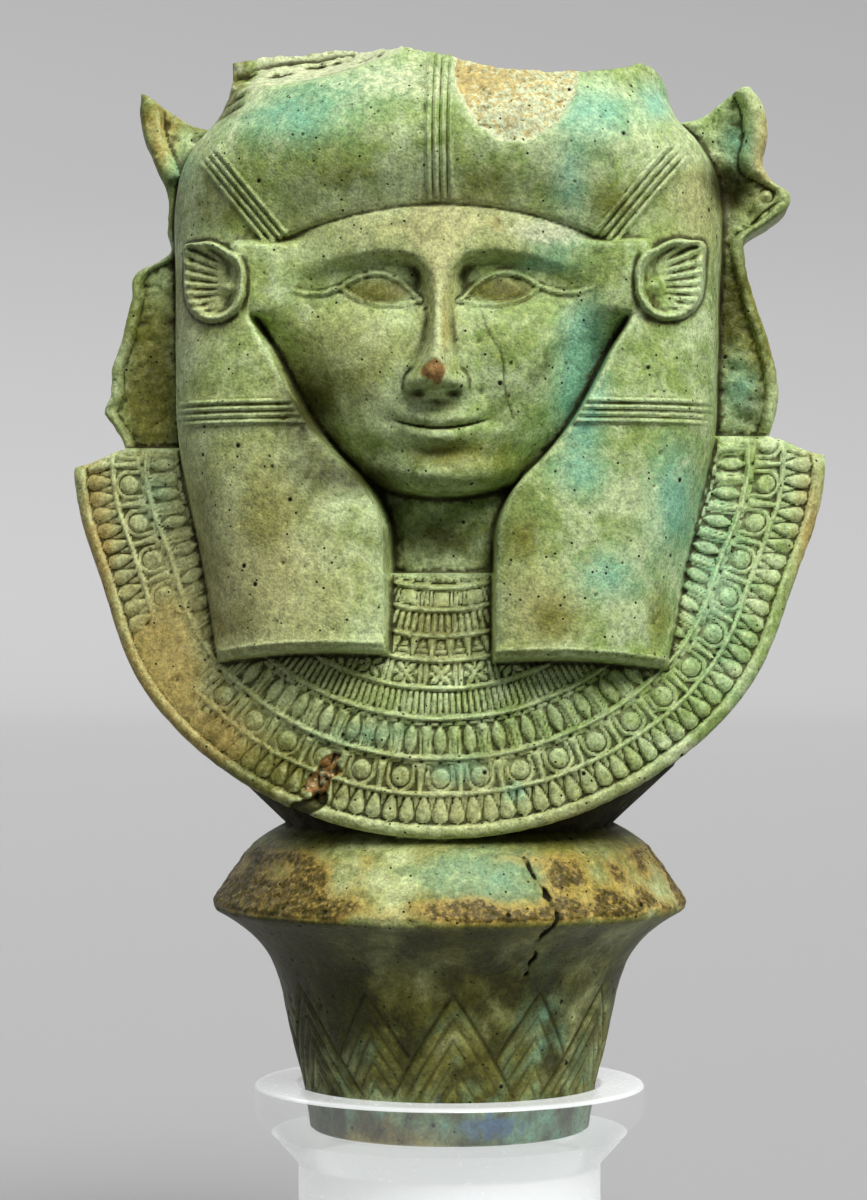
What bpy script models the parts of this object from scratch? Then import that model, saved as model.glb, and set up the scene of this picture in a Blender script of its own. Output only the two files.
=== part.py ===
"""Head of a Hathor sistrum in glazed composition, standing in a clear acrylic cradle.

The head is one solid: the goddess's mask in its wig, the broad collar, two side cobras, the stubs
of two scrolls, the broken foot of the shrine box, and an open papyrus capital.
The cradle is one turned solid: a shallow cup on a stem with a round foot.

The front faces -Y and +Z is up. The origin is under the middle of the cradle's foot.
"""

import math

import bpy
import numpy as np

# Head, in metres. Its free form is given below in units of FIGURE_HEIGHT / HEIGHT_UNITS.
FIGURE_HEIGHT = 0.1225  # underside of the stub to the highest point of the break
STUB_RADIUS = 0.0158  # the capital's lower end, which stands in the cup

# Cradle, in metres
FIT_GAP = 0.0003  # clearance round the stub and under it
FOOT_RADIUS = 0.032
FOOT_THICKNESS = 0.007
STEM_RADIUS = 0.0172
STEM_LENGTH = 0.0191  # top of the foot to the cone
CONE_HEIGHT = 0.0056  # from the stem out to the cup's wall
CUP_HEIGHT = 0.0034  # the cup's upright wall, over the cone
RECESS_DEPTH = 0.0054  # from the lip down to the floor that the stub stands on
CUP_WALL = 0.0049  # at the cup's lip
LIP_CLEARANCE = 0.0015  # how far the recess's mouth stands off the stub
EDGE_EASE = 0.0008  # small bevel on the cradle's outer edges

# Colours, linear
GLAZE_GREEN = (0.33, 0.42, 0.25)
CLEAR = (0.9, 0.93, 0.93)

# Resolution
TURNED_SIDES = 40
RELIEF_CELL = 0.5  # in head units
GRID_LOW = (-43.3, 32.0)  # corners (x, z) of the relief's grid, in head units
GRID_HIGH = (43.3, 124.5)
HEAD_TRIANGLES = 6800

# Everything below about the head is in head units, which are millimetres at its real size.
# x is 0 on the middle line, z is 0 on the underside of the stub and depth is 0 on the mid plane.
HEIGHT_UNITS = 122.5
UNIT = FIGURE_HEIGHT / HEIGHT_UNITS

# Collar
SHOULDER_Z = 75.1  # centre of the collar's curve
COLLAR_HALF_WIDTH = 42.5
COLLAR_DROP = 41.0
COLLAR_EDGE_DEPTH = 4.6
COLLAR_SWELL = 16.6
RIM_WIDTH = 1.35
ROW_LINES = (4.8, 8.65, 13.0, 16.3, 19.3, 21.9, 24.7, 27.1)  # from the outer edge inwards
ROW_LINE_HEIGHT = 0.4

# Wig
ARCH_TOP_Z = 102.5
ARCH_HALF_WIDTH = 19.6
ARCH_DROP = 4.5
WIG_ROUNDNESS = 2.6
LAPPET_END_Z = 54.2
BAND_HEIGHT = 0.35

# Capital
RIM_Z = 25.4
RIM_RADIUS = 26.85
NECK_RADIUS = 18.7
NECK_TOP_Z = 44.0

# Side stubs
SIDE_DEPTH = 4.4


# Curves

def smooth_step(value):
    share = np.clip(value, 0.0, 1.0)
    return share * share * (3.0 - 2.0 * share)


def curve_through(*stations):
    """A smooth function of one value through (value, result) pairs."""
    at, result = np.array(stations, float).T
    slope = np.gradient(result, at)

    def read(value):
        value = np.clip(value, at[0], at[-1])
        i = np.clip(np.searchsorted(at, value) - 1, 0, len(at) - 2)
        step = at[i + 1] - at[i]
        s = (value - at[i]) / step
        ends = result[i] * (1 + 2 * s) * (1 - s) ** 2 + result[i + 1] * s * s * (3 - 2 * s)
        return ends + step * s * (1 - s) * (slope[i] * (1 - s) - slope[i + 1] * s)

    return read


def path_through(points, count=16):
    """Points along a smooth path through a few given ones."""
    points = np.array(points, float)
    run = np.concatenate([[0.0], np.cumsum(np.hypot(*np.diff(points, axis=0).T))])
    at = np.linspace(0.0, run[-1], count)
    columns = [curve_through(*zip(run, points[:, axis]))(at) for axis in range(2)]
    return np.column_stack(columns)


def distance_to_path(x, z, path, reach):
    """Distance to a path where it is under reach, and reach elsewhere."""
    result = np.full(x.shape, float(reach))
    low, high = path.min(axis=0) - reach, path.max(axis=0) + reach
    near = (x > low[0]) & (x < high[0]) & (z > low[1]) & (z < high[1])
    px, pz = x[near], z[near]
    best = np.full(px.shape, float(reach))
    for start, end in zip(path[:-1], path[1:]):
        dx, dz = end - start
        share = np.clip(((px - start[0]) * dx + (pz - start[1]) * dz) / (dx * dx + dz * dz), 0, 1)
        away = np.hypot(px - start[0] - share * dx, pz - start[1] - share * dz)
        best = np.minimum(best, away)
    result[near] = best
    return result


def ridge(distance, half_width):
    """A rounded ridge of height 1 along the place where distance is 0."""
    return 0.5 + 0.5 * np.cos(math.pi * np.clip(np.abs(distance) / half_width, 0.0, 1.0))


def mound(x, z, centre, radii):
    return np.exp(-(((x - centre[0]) / radii[0]) ** 2) - ((z - centre[1]) / radii[1]) ** 2)


def blend_of(first, second, softness):
    """The larger of two depths, with a soft change from one to the other."""
    return 0.5 * (first + second + np.sqrt((first - second) ** 2 + softness ** 2))


def rounding(inside, radius):
    """How far a rounded edge falls back, where inside is the distance from it."""
    left = radius - np.clip(inside, 0.0, radius)
    return radius - np.sqrt(radius * radius - left * left)


# Outlines of the head, as distances that are positive inside

wig_half_width = curve_through(
    (50.0, 24.2), (56.0, 25.3), (62.5, 26.5), (69.0, 28.0), (77.0, 29.9), (86.0, 30.3), (94.0, 30.6),
    (100.0, 30.9), (104.5, 30.8), (108.5, 29.9), (111.2, 28.3), (113.4, 26.3), (115.5, 25.2),
    (123.0, 24.6),
)
lappet_inner_edge = curve_through(
    (50.0, 5.5), (58.0, 5.5), (64.0, 5.6), (68.6, 6.0), (72.7, 8.1), (75.6, 11.0), (79.4, 14.1),
    (83.0, 16.2), (87.0, 18.2), (90.3, 20.1), (96.0, 20.3),
)
break_line = curve_through(
    (-26.5, 118.9), (-25.0, 121.0), (-22.5, 121.6), (-17.0, 122.1), (-11.0, 122.5), (-7.0, 121.9),
    (-3.0, 120.1), (1.0, 119.3), (5.0, 118.1), (14.0, 117.6), (19.0, 118.2), (22.0, 119.2),
    (24.0, 118.4), (26.0, 116.5),
)
left_side_edge = curve_through(
    (77.0, 36.6), (79.0, 37.6), (81.2, 39.0), (83.0, 38.4), (86.0, 38.2), (89.7, 37.0), (94.0, 36.0),
    (97.4, 34.9), (98.6, 32.4), (102.0, 31.9), (105.8, 31.9), (108.7, 33.2), (113.2, 34.8), (117.4, 35.0),
)
right_side_edge = curve_through(
    (77.0, 35.4), (79.0, 36.4), (82.5, 37.2), (85.5, 37.0), (89.0, 36.1), (94.2, 34.4), (98.2, 33.5),
    (100.8, 33.8), (102.4, 36.4), (104.0, 38.2), (105.6, 38.4), (106.8, 36.8), (108.2, 35.7), (112.4, 36.0),
    (116.4, 35.0), (117.6, 34.0),
)
left_scroll_top = curve_through(
    (-36.0, 117.2), (-34.6, 117.2), (-32.0, 115.6), (-29.0, 113.8), (-25.0, 113.2),
)
right_scroll_top = curve_through(
    (25.0, 113.7), (29.0, 114.6), (31.7, 116.6), (33.5, 117.5), (36.0, 117.0),
)


def collar_inset(x, z):
    """Distance in from the collar's outer curve."""
    down = np.maximum(SHOULDER_Z - z, 0.0)
    angle = np.arctan2(down, np.abs(x))
    curve = 1.0 / np.hypot(np.cos(angle) / COLLAR_HALF_WIDTH, np.sin(angle) / COLLAR_DROP)
    flattened = 1.4 * np.exp(-(((np.degrees(angle) - 19.0) / 12.0) ** 2))
    return curve - flattened - np.hypot(x, down)


def collar_top(x):
    """The top of the collar's ends, a little higher on the right."""
    return 77.1 + 1.2 * smooth_step(x / 10.0 + 0.5) - 2.0 * smooth_step((np.abs(x) - 35.5) / 7.0)


def outline(x, z):
    """Distance inside the head's outline from the shoulders and collar up to the break."""
    inset = collar_inset(x, z)
    collar = np.minimum(inset, collar_top(x) - z)
    wig = np.minimum(wig_half_width(z) - np.abs(x), break_line(x) - z)
    wig = np.minimum(wig, z - SHOULDER_Z + 10.0)
    left = np.minimum(x + left_side_edge(z), left_scroll_top(x) - z)
    left = np.minimum(np.minimum(left, -x), z - 70.0)
    right = np.minimum(right_side_edge(z) - x, right_scroll_top(x) - z)
    right = np.minimum(np.minimum(right, x), z - 70.0)
    return np.maximum(np.maximum(collar, wig), np.maximum(left, right))


# Depths of the head's parts in front of its mid plane

def collar_depth(x, z, carved):
    inset = collar_inset(x, z)
    across = np.clip(1.0 - (x / 43.5) ** 2, 0.0, 1.0) ** 0.8
    up = 1.0 - 0.5 * np.clip((z - 48.0) / 27.0, 0.0, 1.4) ** 1.3
    depth = COLLAR_EDGE_DEPTH + COLLAR_SWELL * across * up
    depth -= rounding(inset, 1.2)
    for line in ROW_LINES[:carved]:
        depth += ROW_LINE_HEIGHT * ridge(inset - line, 0.7)
    depth += ROW_LINE_HEIGHT * smooth_step((RIM_WIDTH + 0.5 - inset) / 0.7)
    return depth


def side_depth(x, z):
    """The cobras and scroll stubs beside the wig, with a raised border."""
    edge = outline(x, z)
    snake_head = 1.6 * mound(x, z, (36.0, 105.0), (1.9, 1.6))
    return SIDE_DEPTH + 0.8 * ridge(edge - 1.1, 1.2) + snake_head - rounding(edge, 1.0)


def arch_z(x):
    return ARCH_TOP_Z - ARCH_DROP * (x / ARCH_HALF_WIDTH) ** 2


def lappet_end(x):
    """The lower end of the lappets, a little lower on the right."""
    return LAPPET_END_Z - 0.8 * smooth_step(x / 10.0 + 0.5) - 1.2 * ((np.abs(x) - 12.0) / 12.5) ** 2


def wig_inside(x, z):
    """Distance inside the wig's edge, from the face, the neck, the outer side and the lower end."""
    inner = np.maximum(np.abs(x) - lappet_inner_edge(z), z - arch_z(x))
    outer = wig_half_width(z) - np.abs(x)
    return inner, outer, z - lappet_end(x)


wig_front = curve_through(
    (50.0, 24.6), (60.0, 24.8), (75.0, 24.4), (95.0, 24.2), (104.0, 24.2), (109.0, 23.4), (114.0, 21.6),
    (122.0, 17.5),
)


def wig_depth(x, z, under):
    across = np.clip(np.abs(x) / (wig_half_width(z) + 0.2), 0.0, 1.0) ** WIG_ROUNDNESS
    depth = wig_front(z) * (1.0 - across) ** (1.0 / WIG_ROUNDNESS)
    inner, outer, end = wig_inside(x, z)
    lappet = smooth_step((SHOULDER_Z + 6.0 - z) / 10.0)
    depth = blend_of(depth, under + 2.6, 1.5)
    depth -= rounding(inner, 1.4) + lappet * (rounding(inner, 4.5) * 0.35 + rounding(outer, 2.2))
    return depth - rounding(end, 0.9) + wig_bands(x, z)


def wig_bands(x, z):
    """The ribbons tied round the wig: one down the middle, two slanting, one on each lappet."""
    lines = sum(ridge(x - 0.1 - offset, 0.42) for offset in (-1.2, -0.4, 0.4, 1.2))
    result = lines * smooth_step((z - ARCH_TOP_Z - 0.3) * 2)
    slant = math.atan2(139.4 - 128.4, 26.3 - 17.2)
    along = (np.abs(x) - 17.2) * math.cos(slant) + (z - 98.4) * math.sin(slant)
    across = (np.abs(x) - 17.2) * -math.sin(slant) + (z - 98.4) * math.cos(slant)
    lines = sum(ridge(across - offset, 0.4) for offset in (-1.1, -0.35, 0.4, 1.15))
    result += lines * smooth_step(along + 0.5) * smooth_step(14.0 - along)
    lines = sum(ridge(z - level, 0.4) for level in (79.2, 79.9, 80.6, 81.3))
    result += lines * (np.abs(x) > 10.0)
    result += 0.8 * ridge(z - lappet_end(x) - 1.35, 0.35)
    return BAND_HEIGHT * result


face_profile = curve_through(
    (70.0, 21.4), (71.8, 23.0), (73.8, 23.9), (76.0, 23.2), (78.7, 23.6), (81.0, 23.5), (84.0, 23.4),
    (89.0, 23.1), (93.4, 22.2), (96.5, 22.6), (99.0, 22.6), (103.0, 21.8),
)
nose_height = curve_through(
    (81.6, 0.0), (82.3, 1.6), (83.1, 4.4), (84.2, 5.6), (85.6, 5.3), (88.0, 4.2), (92.0, 2.5),
    (95.5, 1.0), (98.5, 0.0),
)
nose_width = curve_through((81.6, 2.7), (84.0, 2.3), (87.0, 1.6), (92.0, 1.15), (96.0, 1.7), (98.5, 2.4))

UPPER_LID = ((2.3, 92.2), (4.3, 94.3), (6.6, 95.2), (9.2, 94.8), (11.1, 93.8))
LOWER_LID = ((2.3, 92.2), (4.2, 91.7), (6.5, 91.7), (8.8, 92.2), (11.1, 93.8))
BROW = ((2.0, 97.3), (6.0, 97.9), (11.0, 97.2), (16.8, 95.3))
COSMETIC_LINE = ((11.1, 93.8), (17.2, 94.0))


def eye_relief(x, z):
    """Lids, eyeball, brow and painted-on line, the same on both sides."""
    side = np.abs(x)
    upper = distance_to_path(side, z, path_through(UPPER_LID), 2.0)
    lower = distance_to_path(side, z, path_through(LOWER_LID), 2.0)
    brow = distance_to_path(side, z, path_through(BROW), 3.0)
    line = distance_to_path(side, z, path_through(COSMETIC_LINE, 4), 2.0)
    socket = mound(side, z, (6.6, 94.0), (6.5, 3.2))
    ball = mound(side, z, (6.7, 93.4), (3.4, 1.7))
    result = 0.75 * ridge(upper, 0.6) + 0.5 * ridge(lower, 0.5) + 0.45 * ridge(line, 0.55)
    return result + 0.7 * ridge(brow, 1.5) - 1.5 * socket + 1.5 * ball


def mouth_relief(x, z):
    side = np.clip(np.abs(x) / 4.9, 0.0, 1.0)
    line = 78.55 + 0.8 * side ** 2
    fullness = np.clip(1.0 - side ** 2, 0.0, 1.0) ** 0.6
    upper = np.exp(-(((z - line - 0.75) / 0.75) ** 2)) * fullness
    lower = np.exp(-(((z - line + 0.85) / 0.85) ** 2)) * fullness
    seam = ridge(z - line, 0.45) * smooth_step((5.1 - np.abs(x)) / 1.0)
    return 0.85 * upper + 0.95 * lower - 0.6 * seam


def face_depth(x, z):
    side = np.abs(x)
    depth = face_profile(z) - 4.7 * (side / 19.0) ** 2.2
    width = nose_width(z)
    depth += nose_height(z) * np.exp(-((side / width) ** 2.4))
    wings, nostrils = mound(side, z, (2.5, 83.3), (1.1, 1.0)), mound(side, z, (1.5, 82.0), (0.7, 0.5))
    cheeks, chin = mound(side, z, (9.0, 84.5), (6.0, 6.0)), mound(x, z, (0.0, 73.9), (3.6, 2.2))
    mouth_corners = mound(side, z, (6.4, 78.8), (1.8, 2.4))
    depth += 1.5 * wings - 0.9 * nostrils + cheeks + 0.7 * chin - 0.5 * mouth_corners
    return depth + eye_relief(x, z) + mouth_relief(x, z)


def inner_depth(x, z, under):
    """The face over the neck over the collar, between the wig's edges."""
    neck = 15.4 - 0.05 * x * x
    jaw = z - 71.2 - 1.2 * (x / 8.0) ** 2
    face = face_depth(x, z) - rounding(jaw, 2.0)
    face_here = smooth_step(jaw / 0.7 + 0.5)
    low = np.where(z > 62.9, neck, np.maximum(neck, under))
    return low + (face - low) * face_here


ear_reach = curve_through(
    (-180.0, 2.6), (-110.0, 3.2), (-80.0, 3.9), (-47.0, 5.1), (-20.0, 5.6), (0.0, 6.0), (20.0, 6.6),
    (36.0, 7.5), (50.0, 6.4), (65.0, 5.1), (90.0, 3.0), (120.0, 3.1), (180.0, 2.6),
)
EAR_PIT = (23.3, 94.3)


def add_ears(x, z, depth):
    """Cow's ears laid on the wig: a band at the root, a knob, and ribs that fan out to the rim."""
    side = np.abs(x)
    du, dv = side - EAR_PIT[0], z - EAR_PIT[1]
    radius, angle = np.hypot(du, dv), np.arctan2(dv, du)
    inside = ear_reach(np.degrees(angle)) - radius
    leaf = 22.0 - 0.5 * (side - 20.0)
    leaf += 0.55 * ridge(inside - 0.5, 0.6) - 0.9 * smooth_step(inside / 2.0)
    ribs = np.cos(angle * 13.0) * smooth_step(radius / 2.0 - 0.8) * smooth_step(inside)
    leaf += 0.45 * ribs * (du > -0.5)
    leaf += 1.5 * mound(side, z, (22.9, 94.2), (0.9, 0.9))
    root = np.minimum(np.minimum(side - 19.3, 21.7 - side), np.minimum(z - 90.9, 97.7 - z))
    result = depth + (np.maximum(leaf, depth) - depth) * smooth_step(inside / 0.5)
    band = 21.2 + 0.3 * ridge(side - 19.7, 0.5) + 0.3 * ridge(side - 21.2, 0.5)
    return result + (np.maximum(band, result) - result) * smooth_step(root / 0.5)


facet_foot = curve_through(
    (-25.0, 114.6), (-21.0, 115.7), (-14.0, 116.9), (-8.5, 118.5), (-5.0, 119.8), (2.0, 123.0),
)


def break_facet(x, z, depth):
    """The sloping broken face that runs from the left corner to the middle of the top."""
    slope_down = 3.6  # depth lost for each unit of height
    return np.minimum(depth, np.maximum(17.5 - slope_down * (z - facet_foot(x)), 2.0))


def relief(x, z, carved):
    """Depth of the carved surface in front of the mid plane. carved is the number of collar lines."""
    collar = collar_depth(x, z, carved)
    inset = collar_inset(x, z)
    on_collar = np.minimum(inset, collar_top(x) - z)
    side = side_depth(x, z)
    end_fall = rounding(collar_top(x) - z, 2.0)
    ground = np.where(on_collar > 0.0, np.maximum(collar - end_fall, side * (z > SHOULDER_Z)), side)
    inner, outer, end = wig_inside(x, z)
    middle = (np.abs(x) < lappet_inner_edge(z) + 1.0) & (z > LAPPET_END_Z - 1.0)
    ground = np.where(middle, inner_depth(x, z, collar), ground)
    wig = wig_depth(x, z, np.where(z < SHOULDER_Z + 2.0, collar, 0.0))
    here = np.minimum(np.minimum(inner, outer), end)
    depth = ground + (np.maximum(wig, SIDE_DEPTH) - ground) * smooth_step(here / 0.6 + 0.2)
    return add_ears(x, z, depth)


# Meshes

def mesh_object(name, points, faces, colour, roughness, transmission=0.0):
    mesh = bpy.data.meshes.new(name)
    mesh.from_pydata([tuple(point) for point in points], [], [tuple(face) for face in faces])
    mesh.validate()
    thing = bpy.data.objects.new(name, mesh)
    bpy.context.scene.collection.objects.link(thing)
    material = bpy.data.materials.new(name)
    material.use_nodes = True
    shader = material.node_tree.nodes["Principled BSDF"]
    shader.inputs["Base Color"].default_value = (*colour, 1.0)
    shader.inputs["Roughness"].default_value = roughness
    shader.inputs["Metallic"].default_value = 0.0
    shader.inputs["Transmission Weight"].default_value = transmission
    mesh.materials.append(material)
    return thing


def clipped_grid(inside, low, high, cell):
    """Triangles of a square grid, cut off where inside turns negative: points (x, z) and faces."""
    xs = np.arange(low[0], high[0] + cell, cell)
    zs = np.arange(low[1], high[1] + cell, cell)
    x, z = (grid.ravel() for grid in np.meshgrid(xs, zs))
    value = inside(x, z)
    value = np.where(np.abs(value) < 1e-6, -1e-6, value)
    corner = np.arange(len(x)).reshape(len(zs), len(xs))
    a, b = corner[:-1, :-1].ravel(), corner[:-1, 1:].ravel()
    c, d = corner[1:, 1:].ravel(), corner[1:, :-1].ravel()
    triangles = np.concatenate([np.column_stack([a, b, c]), np.column_stack([a, c, d])])
    count = (value[triangles] > 0).sum(axis=1)
    whole = triangles[count == 3]
    cut_points, cut_faces = {}, []

    def crossing(inner, outer):
        key = (int(inner), int(outer))
        if key not in cut_points:
            share = np.clip(value[inner] / (value[inner] - value[outer]), 0.15, 0.85)
            across = x[inner] + share * (x[outer] - x[inner])
            up = z[inner] + share * (z[outer] - z[inner])
            cut_points[key] = (len(cut_points), (across, up))
        return len(x) + cut_points[key][0]

    for triangle in triangles[(count == 1) | (count == 2)]:
        ring = []
        for start, end in zip(triangle, np.roll(triangle, -1)):
            if value[start] > 0:
                ring.append(int(start))
            if (value[start] > 0) != (value[end] > 0):
                inner, outer = (start, end) if value[start] > 0 else (end, start)
                ring.append(crossing(inner, outer))
        cut_faces += [(ring[0], ring[i], ring[i + 1]) for i in range(1, len(ring) - 1)]

    places = np.array([place for _, place in cut_points.values()])
    points = np.concatenate([np.column_stack([x, z]), places])
    faces = np.concatenate([whole, np.array(cut_faces)])
    used, faces = np.unique(faces, return_inverse=True)
    return points[used], faces.reshape(-1, 3)


def rim_edges(faces):
    """Edges that belong to one face only, in that face's direction."""
    edges = np.concatenate([faces[:, [0, 1]], faces[:, [1, 2]], faces[:, [2, 0]]])
    keys = {(int(a), int(b)) for a, b in edges}
    return [edge for edge in keys if (edge[1], edge[0]) not in keys]


def two_sided(points, faces, front, back, rows):
    """Closes a front sheet and a back sheet over the same outline with a side wall."""
    count = len(points)
    x, z = points.T
    sheets = [np.column_stack([x, -front, z]), np.column_stack([x, back, z])]
    edges = rim_edges(faces)
    rim = sorted({corner for edge in edges for corner in edge})
    place = {corner: i for i, corner in enumerate(rim)}
    wall = []
    for row in range(1, rows):
        share = row / rows
        y = -front[rim] * (1 - share) + back[rim] * share
        wall.append(np.column_stack([x[rim], y, z[rim]]))

    def corner_at(corner, row):
        if row == 0:
            return corner
        if row == rows:
            return count + corner
        return 2 * count + (row - 1) * len(rim) + place[corner]

    quads = []
    for start, end in edges:
        for row in range(rows):
            near = (corner_at(end, row), corner_at(start, row))
            far = (corner_at(start, row + 1), corner_at(end, row + 1))
            quads.append(near + far)
    all_faces = [tuple(face) for face in faces] + [tuple(face[::-1]) for face in faces + count] + quads
    return np.concatenate(sheets + wall), all_faces


def turned(stations, sides):
    """A turned solid from (radius, height) stations, first and last on the axis."""
    angles = [2 * math.pi * i / sides for i in range(sides)]
    points, rings = [], []
    for radius, height in stations:
        if radius == 0.0:
            rings.append([len(points)])
            points.append((0.0, 0.0, height))
            continue
        rings.append(list(range(len(points), len(points) + sides)))
        points += [(radius * math.cos(angle), radius * math.sin(angle), height) for angle in angles]
    faces = []
    for lower, upper in zip(rings[:-1], rings[1:]):
        for i in range(sides):
            j = (i + 1) % sides
            if len(lower) == 1:
                faces.append((lower[0], upper[j], upper[i]))
            elif len(upper) == 1:
                faces.append((lower[i], lower[j], upper[0]))
            else:
                faces.append((lower[i], lower[j], upper[j], upper[i]))
    return points, faces


# The two pieces

def lip_height():
    return FOOT_THICKNESS + STEM_LENGTH + CONE_HEIGHT + CUP_HEIGHT


def seat_height():
    """Height of the stub's underside over the ground."""
    return lip_height() - RECESS_DEPTH + FIT_GAP


def capital_stations():
    """The papyrus capital from its stub up into the collar, in head units."""
    stub = STUB_RADIUS / UNIT
    flare = curve_through(
        (0.0, 0.0), (5.7, 0.09), (8.7, 0.16), (13.8, 0.265), (17.3, 0.34), (20.1, 0.455), (22.8, 0.68),
        (24.6, 0.92),
    )
    stations = [(0.0, 0.0), (stub, 0.0)]
    stations += [(stub + (RIM_RADIUS - stub) * flare(z), z) for z in np.linspace(2.5, 24.6, 11)]
    stations += [(RIM_RADIUS, RIM_Z)]
    crown = curve_through((26.2, 0.98), (27.4, 0.88), (30.1, 0.66), (32.8, 0.37), (34.0, 0.14), (34.6, 0.0))
    for z in (26.2, 27.6, 29.2, 30.8, 32.2, 33.2, 34.0, 34.6):
        stations.append((NECK_RADIUS + (RIM_RADIUS - NECK_RADIUS) * crown(z), z))
    stations += [(NECK_RADIUS, NECK_TOP_Z), (0.0, NECK_TOP_Z)]
    return [(radius * UNIT, z * UNIT) for radius, z in stations]


def make_head():
    points, faces = clipped_grid(outline, GRID_LOW, GRID_HIGH, RELIEF_CELL)
    x, z = points.T
    front = break_facet(x, z, relief(x, z, len(ROW_LINES)))
    back = relief(x, z, 2)
    corners, sides = two_sided(points, faces, front, back, 4)
    head = mesh_object("hathor_sistrum_head", corners * UNIT, sides, GLAZE_GREEN, 0.5)
    head.location.z = seat_height()

    capital_points, capital_faces = turned(capital_stations(), TURNED_SIDES)
    capital = mesh_object("capital_guide", capital_points, capital_faces, GLAZE_GREEN, 0.5)
    capital.location.z = seat_height()
    capital.hide_render = True
    capital.display_type = "WIRE"

    thin = head.modifiers.new("Fewer faces", "DECIMATE")
    thin.ratio = HEAD_TRIANGLES / sum(len(face) - 2 for face in sides)
    join = head.modifiers.new("Capital", "BOOLEAN")
    join.operation = "UNION"
    join.solver = "EXACT"
    join.object = capital
    return head


def make_cradle():
    lip = lip_height()
    recess_floor = lip - RECESS_DEPTH
    recess = STUB_RADIUS + FIT_GAP
    mouth = STUB_RADIUS + LIP_CLEARANCE
    outer = mouth + CUP_WALL
    foot_top = FOOT_THICKNESS
    stations = [
        (0.0, 0.0), (FOOT_RADIUS - EDGE_EASE, 0.0), (FOOT_RADIUS, EDGE_EASE),
        (FOOT_RADIUS, foot_top - EDGE_EASE), (FOOT_RADIUS - EDGE_EASE, foot_top),
        (STEM_RADIUS + EDGE_EASE, foot_top), (STEM_RADIUS, foot_top + EDGE_EASE),
        (STEM_RADIUS, foot_top + STEM_LENGTH), (outer, lip - CUP_HEIGHT),
        (outer, lip - EDGE_EASE), (outer - EDGE_EASE, lip), (mouth, lip),
        (recess, recess_floor), (0.0, recess_floor),
    ]
    points, faces = turned(stations, TURNED_SIDES)
    return mesh_object("acrylic_cradle", points, faces, CLEAR, 0.08, 1.0)


def main():
    for thing in list(bpy.data.objects):
        bpy.data.objects.remove(thing, do_unlink=True)
    make_head()
    make_cradle()


main()
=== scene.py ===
"""Looks of a Hathor sistrum head in glazed composition, standing in its clear acrylic cradle.

The head's carving is a relief: a depth for each place (x, z) in front of the mid plane, once for the
front and once, plainer, for the back. The capital under it is turned, with its own low carving.

The front faces -Y and +Z is up. Places on the head are in head units, which are millimetres at its
real size: x is 0 on the middle line, z is 0 on the underside of the stub that stands in the cup.
"""

import math

import bpy
import numpy as np
from bpy.props import FloatProperty, FloatVectorProperty, IntProperty, PointerProperty
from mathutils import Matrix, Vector


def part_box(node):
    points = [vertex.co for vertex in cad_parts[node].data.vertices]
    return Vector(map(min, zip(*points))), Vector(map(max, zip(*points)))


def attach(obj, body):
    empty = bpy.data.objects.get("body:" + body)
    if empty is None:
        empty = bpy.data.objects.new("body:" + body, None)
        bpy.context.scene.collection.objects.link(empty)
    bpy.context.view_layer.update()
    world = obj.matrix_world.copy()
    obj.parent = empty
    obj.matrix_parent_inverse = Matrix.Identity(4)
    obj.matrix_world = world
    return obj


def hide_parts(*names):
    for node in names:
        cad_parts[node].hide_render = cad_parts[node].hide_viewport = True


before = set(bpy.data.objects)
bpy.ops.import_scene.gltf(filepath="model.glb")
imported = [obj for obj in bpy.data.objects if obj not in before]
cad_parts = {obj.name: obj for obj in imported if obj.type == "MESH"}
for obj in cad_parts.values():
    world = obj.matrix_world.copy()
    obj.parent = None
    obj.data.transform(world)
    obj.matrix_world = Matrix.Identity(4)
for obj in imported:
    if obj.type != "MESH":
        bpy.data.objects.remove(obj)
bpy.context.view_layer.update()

bl_info = {
    "name": "Hathor sistrum head",
    "version": (1, 0, 0),
    "blender": (4, 5, 0),
    "location": "3D View > Sidebar > Sistrum",
    "description": "Carved and glazed looks of a Hathor sistrum head on a clear cradle",
    "category": "Add Mesh",
}

HEAD_LOW, HEAD_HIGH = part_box("hathor_sistrum_head")
CRADLE_LOW, CRADLE_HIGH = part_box("acrylic_cradle")
SEAT = HEAD_LOW.z  # underside of the stub
MM = 0.001

# The head's free form, in head units
HEIGHT_UNITS = 122.5
UNIT = (HEAD_HIGH.z - HEAD_LOW.z) / HEIGHT_UNITS
GRID_LOW = (-43.3, 32.0)
GRID_HIGH = (43.3, 124.5)
WALL_ROWS = 26  # rows of faces from the front to the back
CAPITAL_SIDES = 640
CAPITAL_ROWS = 190
MOST_TRIANGLES = 200000

# Collar
SHOULDER_Z = 75.1  # centre of the collar's curve
COLLAR_HALF_WIDTH = 42.5
COLLAR_DROP = 41.0
COLLAR_EDGE_DEPTH = 4.6
COLLAR_SWELL = 16.6
RIM_WIDTH = 1.35
ROW_LINES = (4.8, 8.65, 13.0, 16.3, 19.3, 21.9, 24.7, 27.1)  # from the outer edge inwards
ROW_LINE_HEIGHT = 0.48
CHISEL = 0.3  # width of the slope beside a carved shape

# Neck, and the face over it
NECK_FOOT_Z = 62.9
CHIN_Z = 71.3

# Wig
ARCH_TOP_Z = 102.5
ARCH_HALF_WIDTH = 19.6
ARCH_DROP = 4.5
WIG_ROUNDNESS = 2.7  # over the brow, and higher on the flatter lappets
LAPPET_ROUNDNESS = 4.0
LAPPET_END_Z = 54.2
BAND_HEIGHT = 0.44
RIBBON_FOOT = (17.2, 98.4)  # where the slanting ribbons leave the brow
RIBBON_SLANT = math.atan2(11.0, 9.1)

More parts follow.
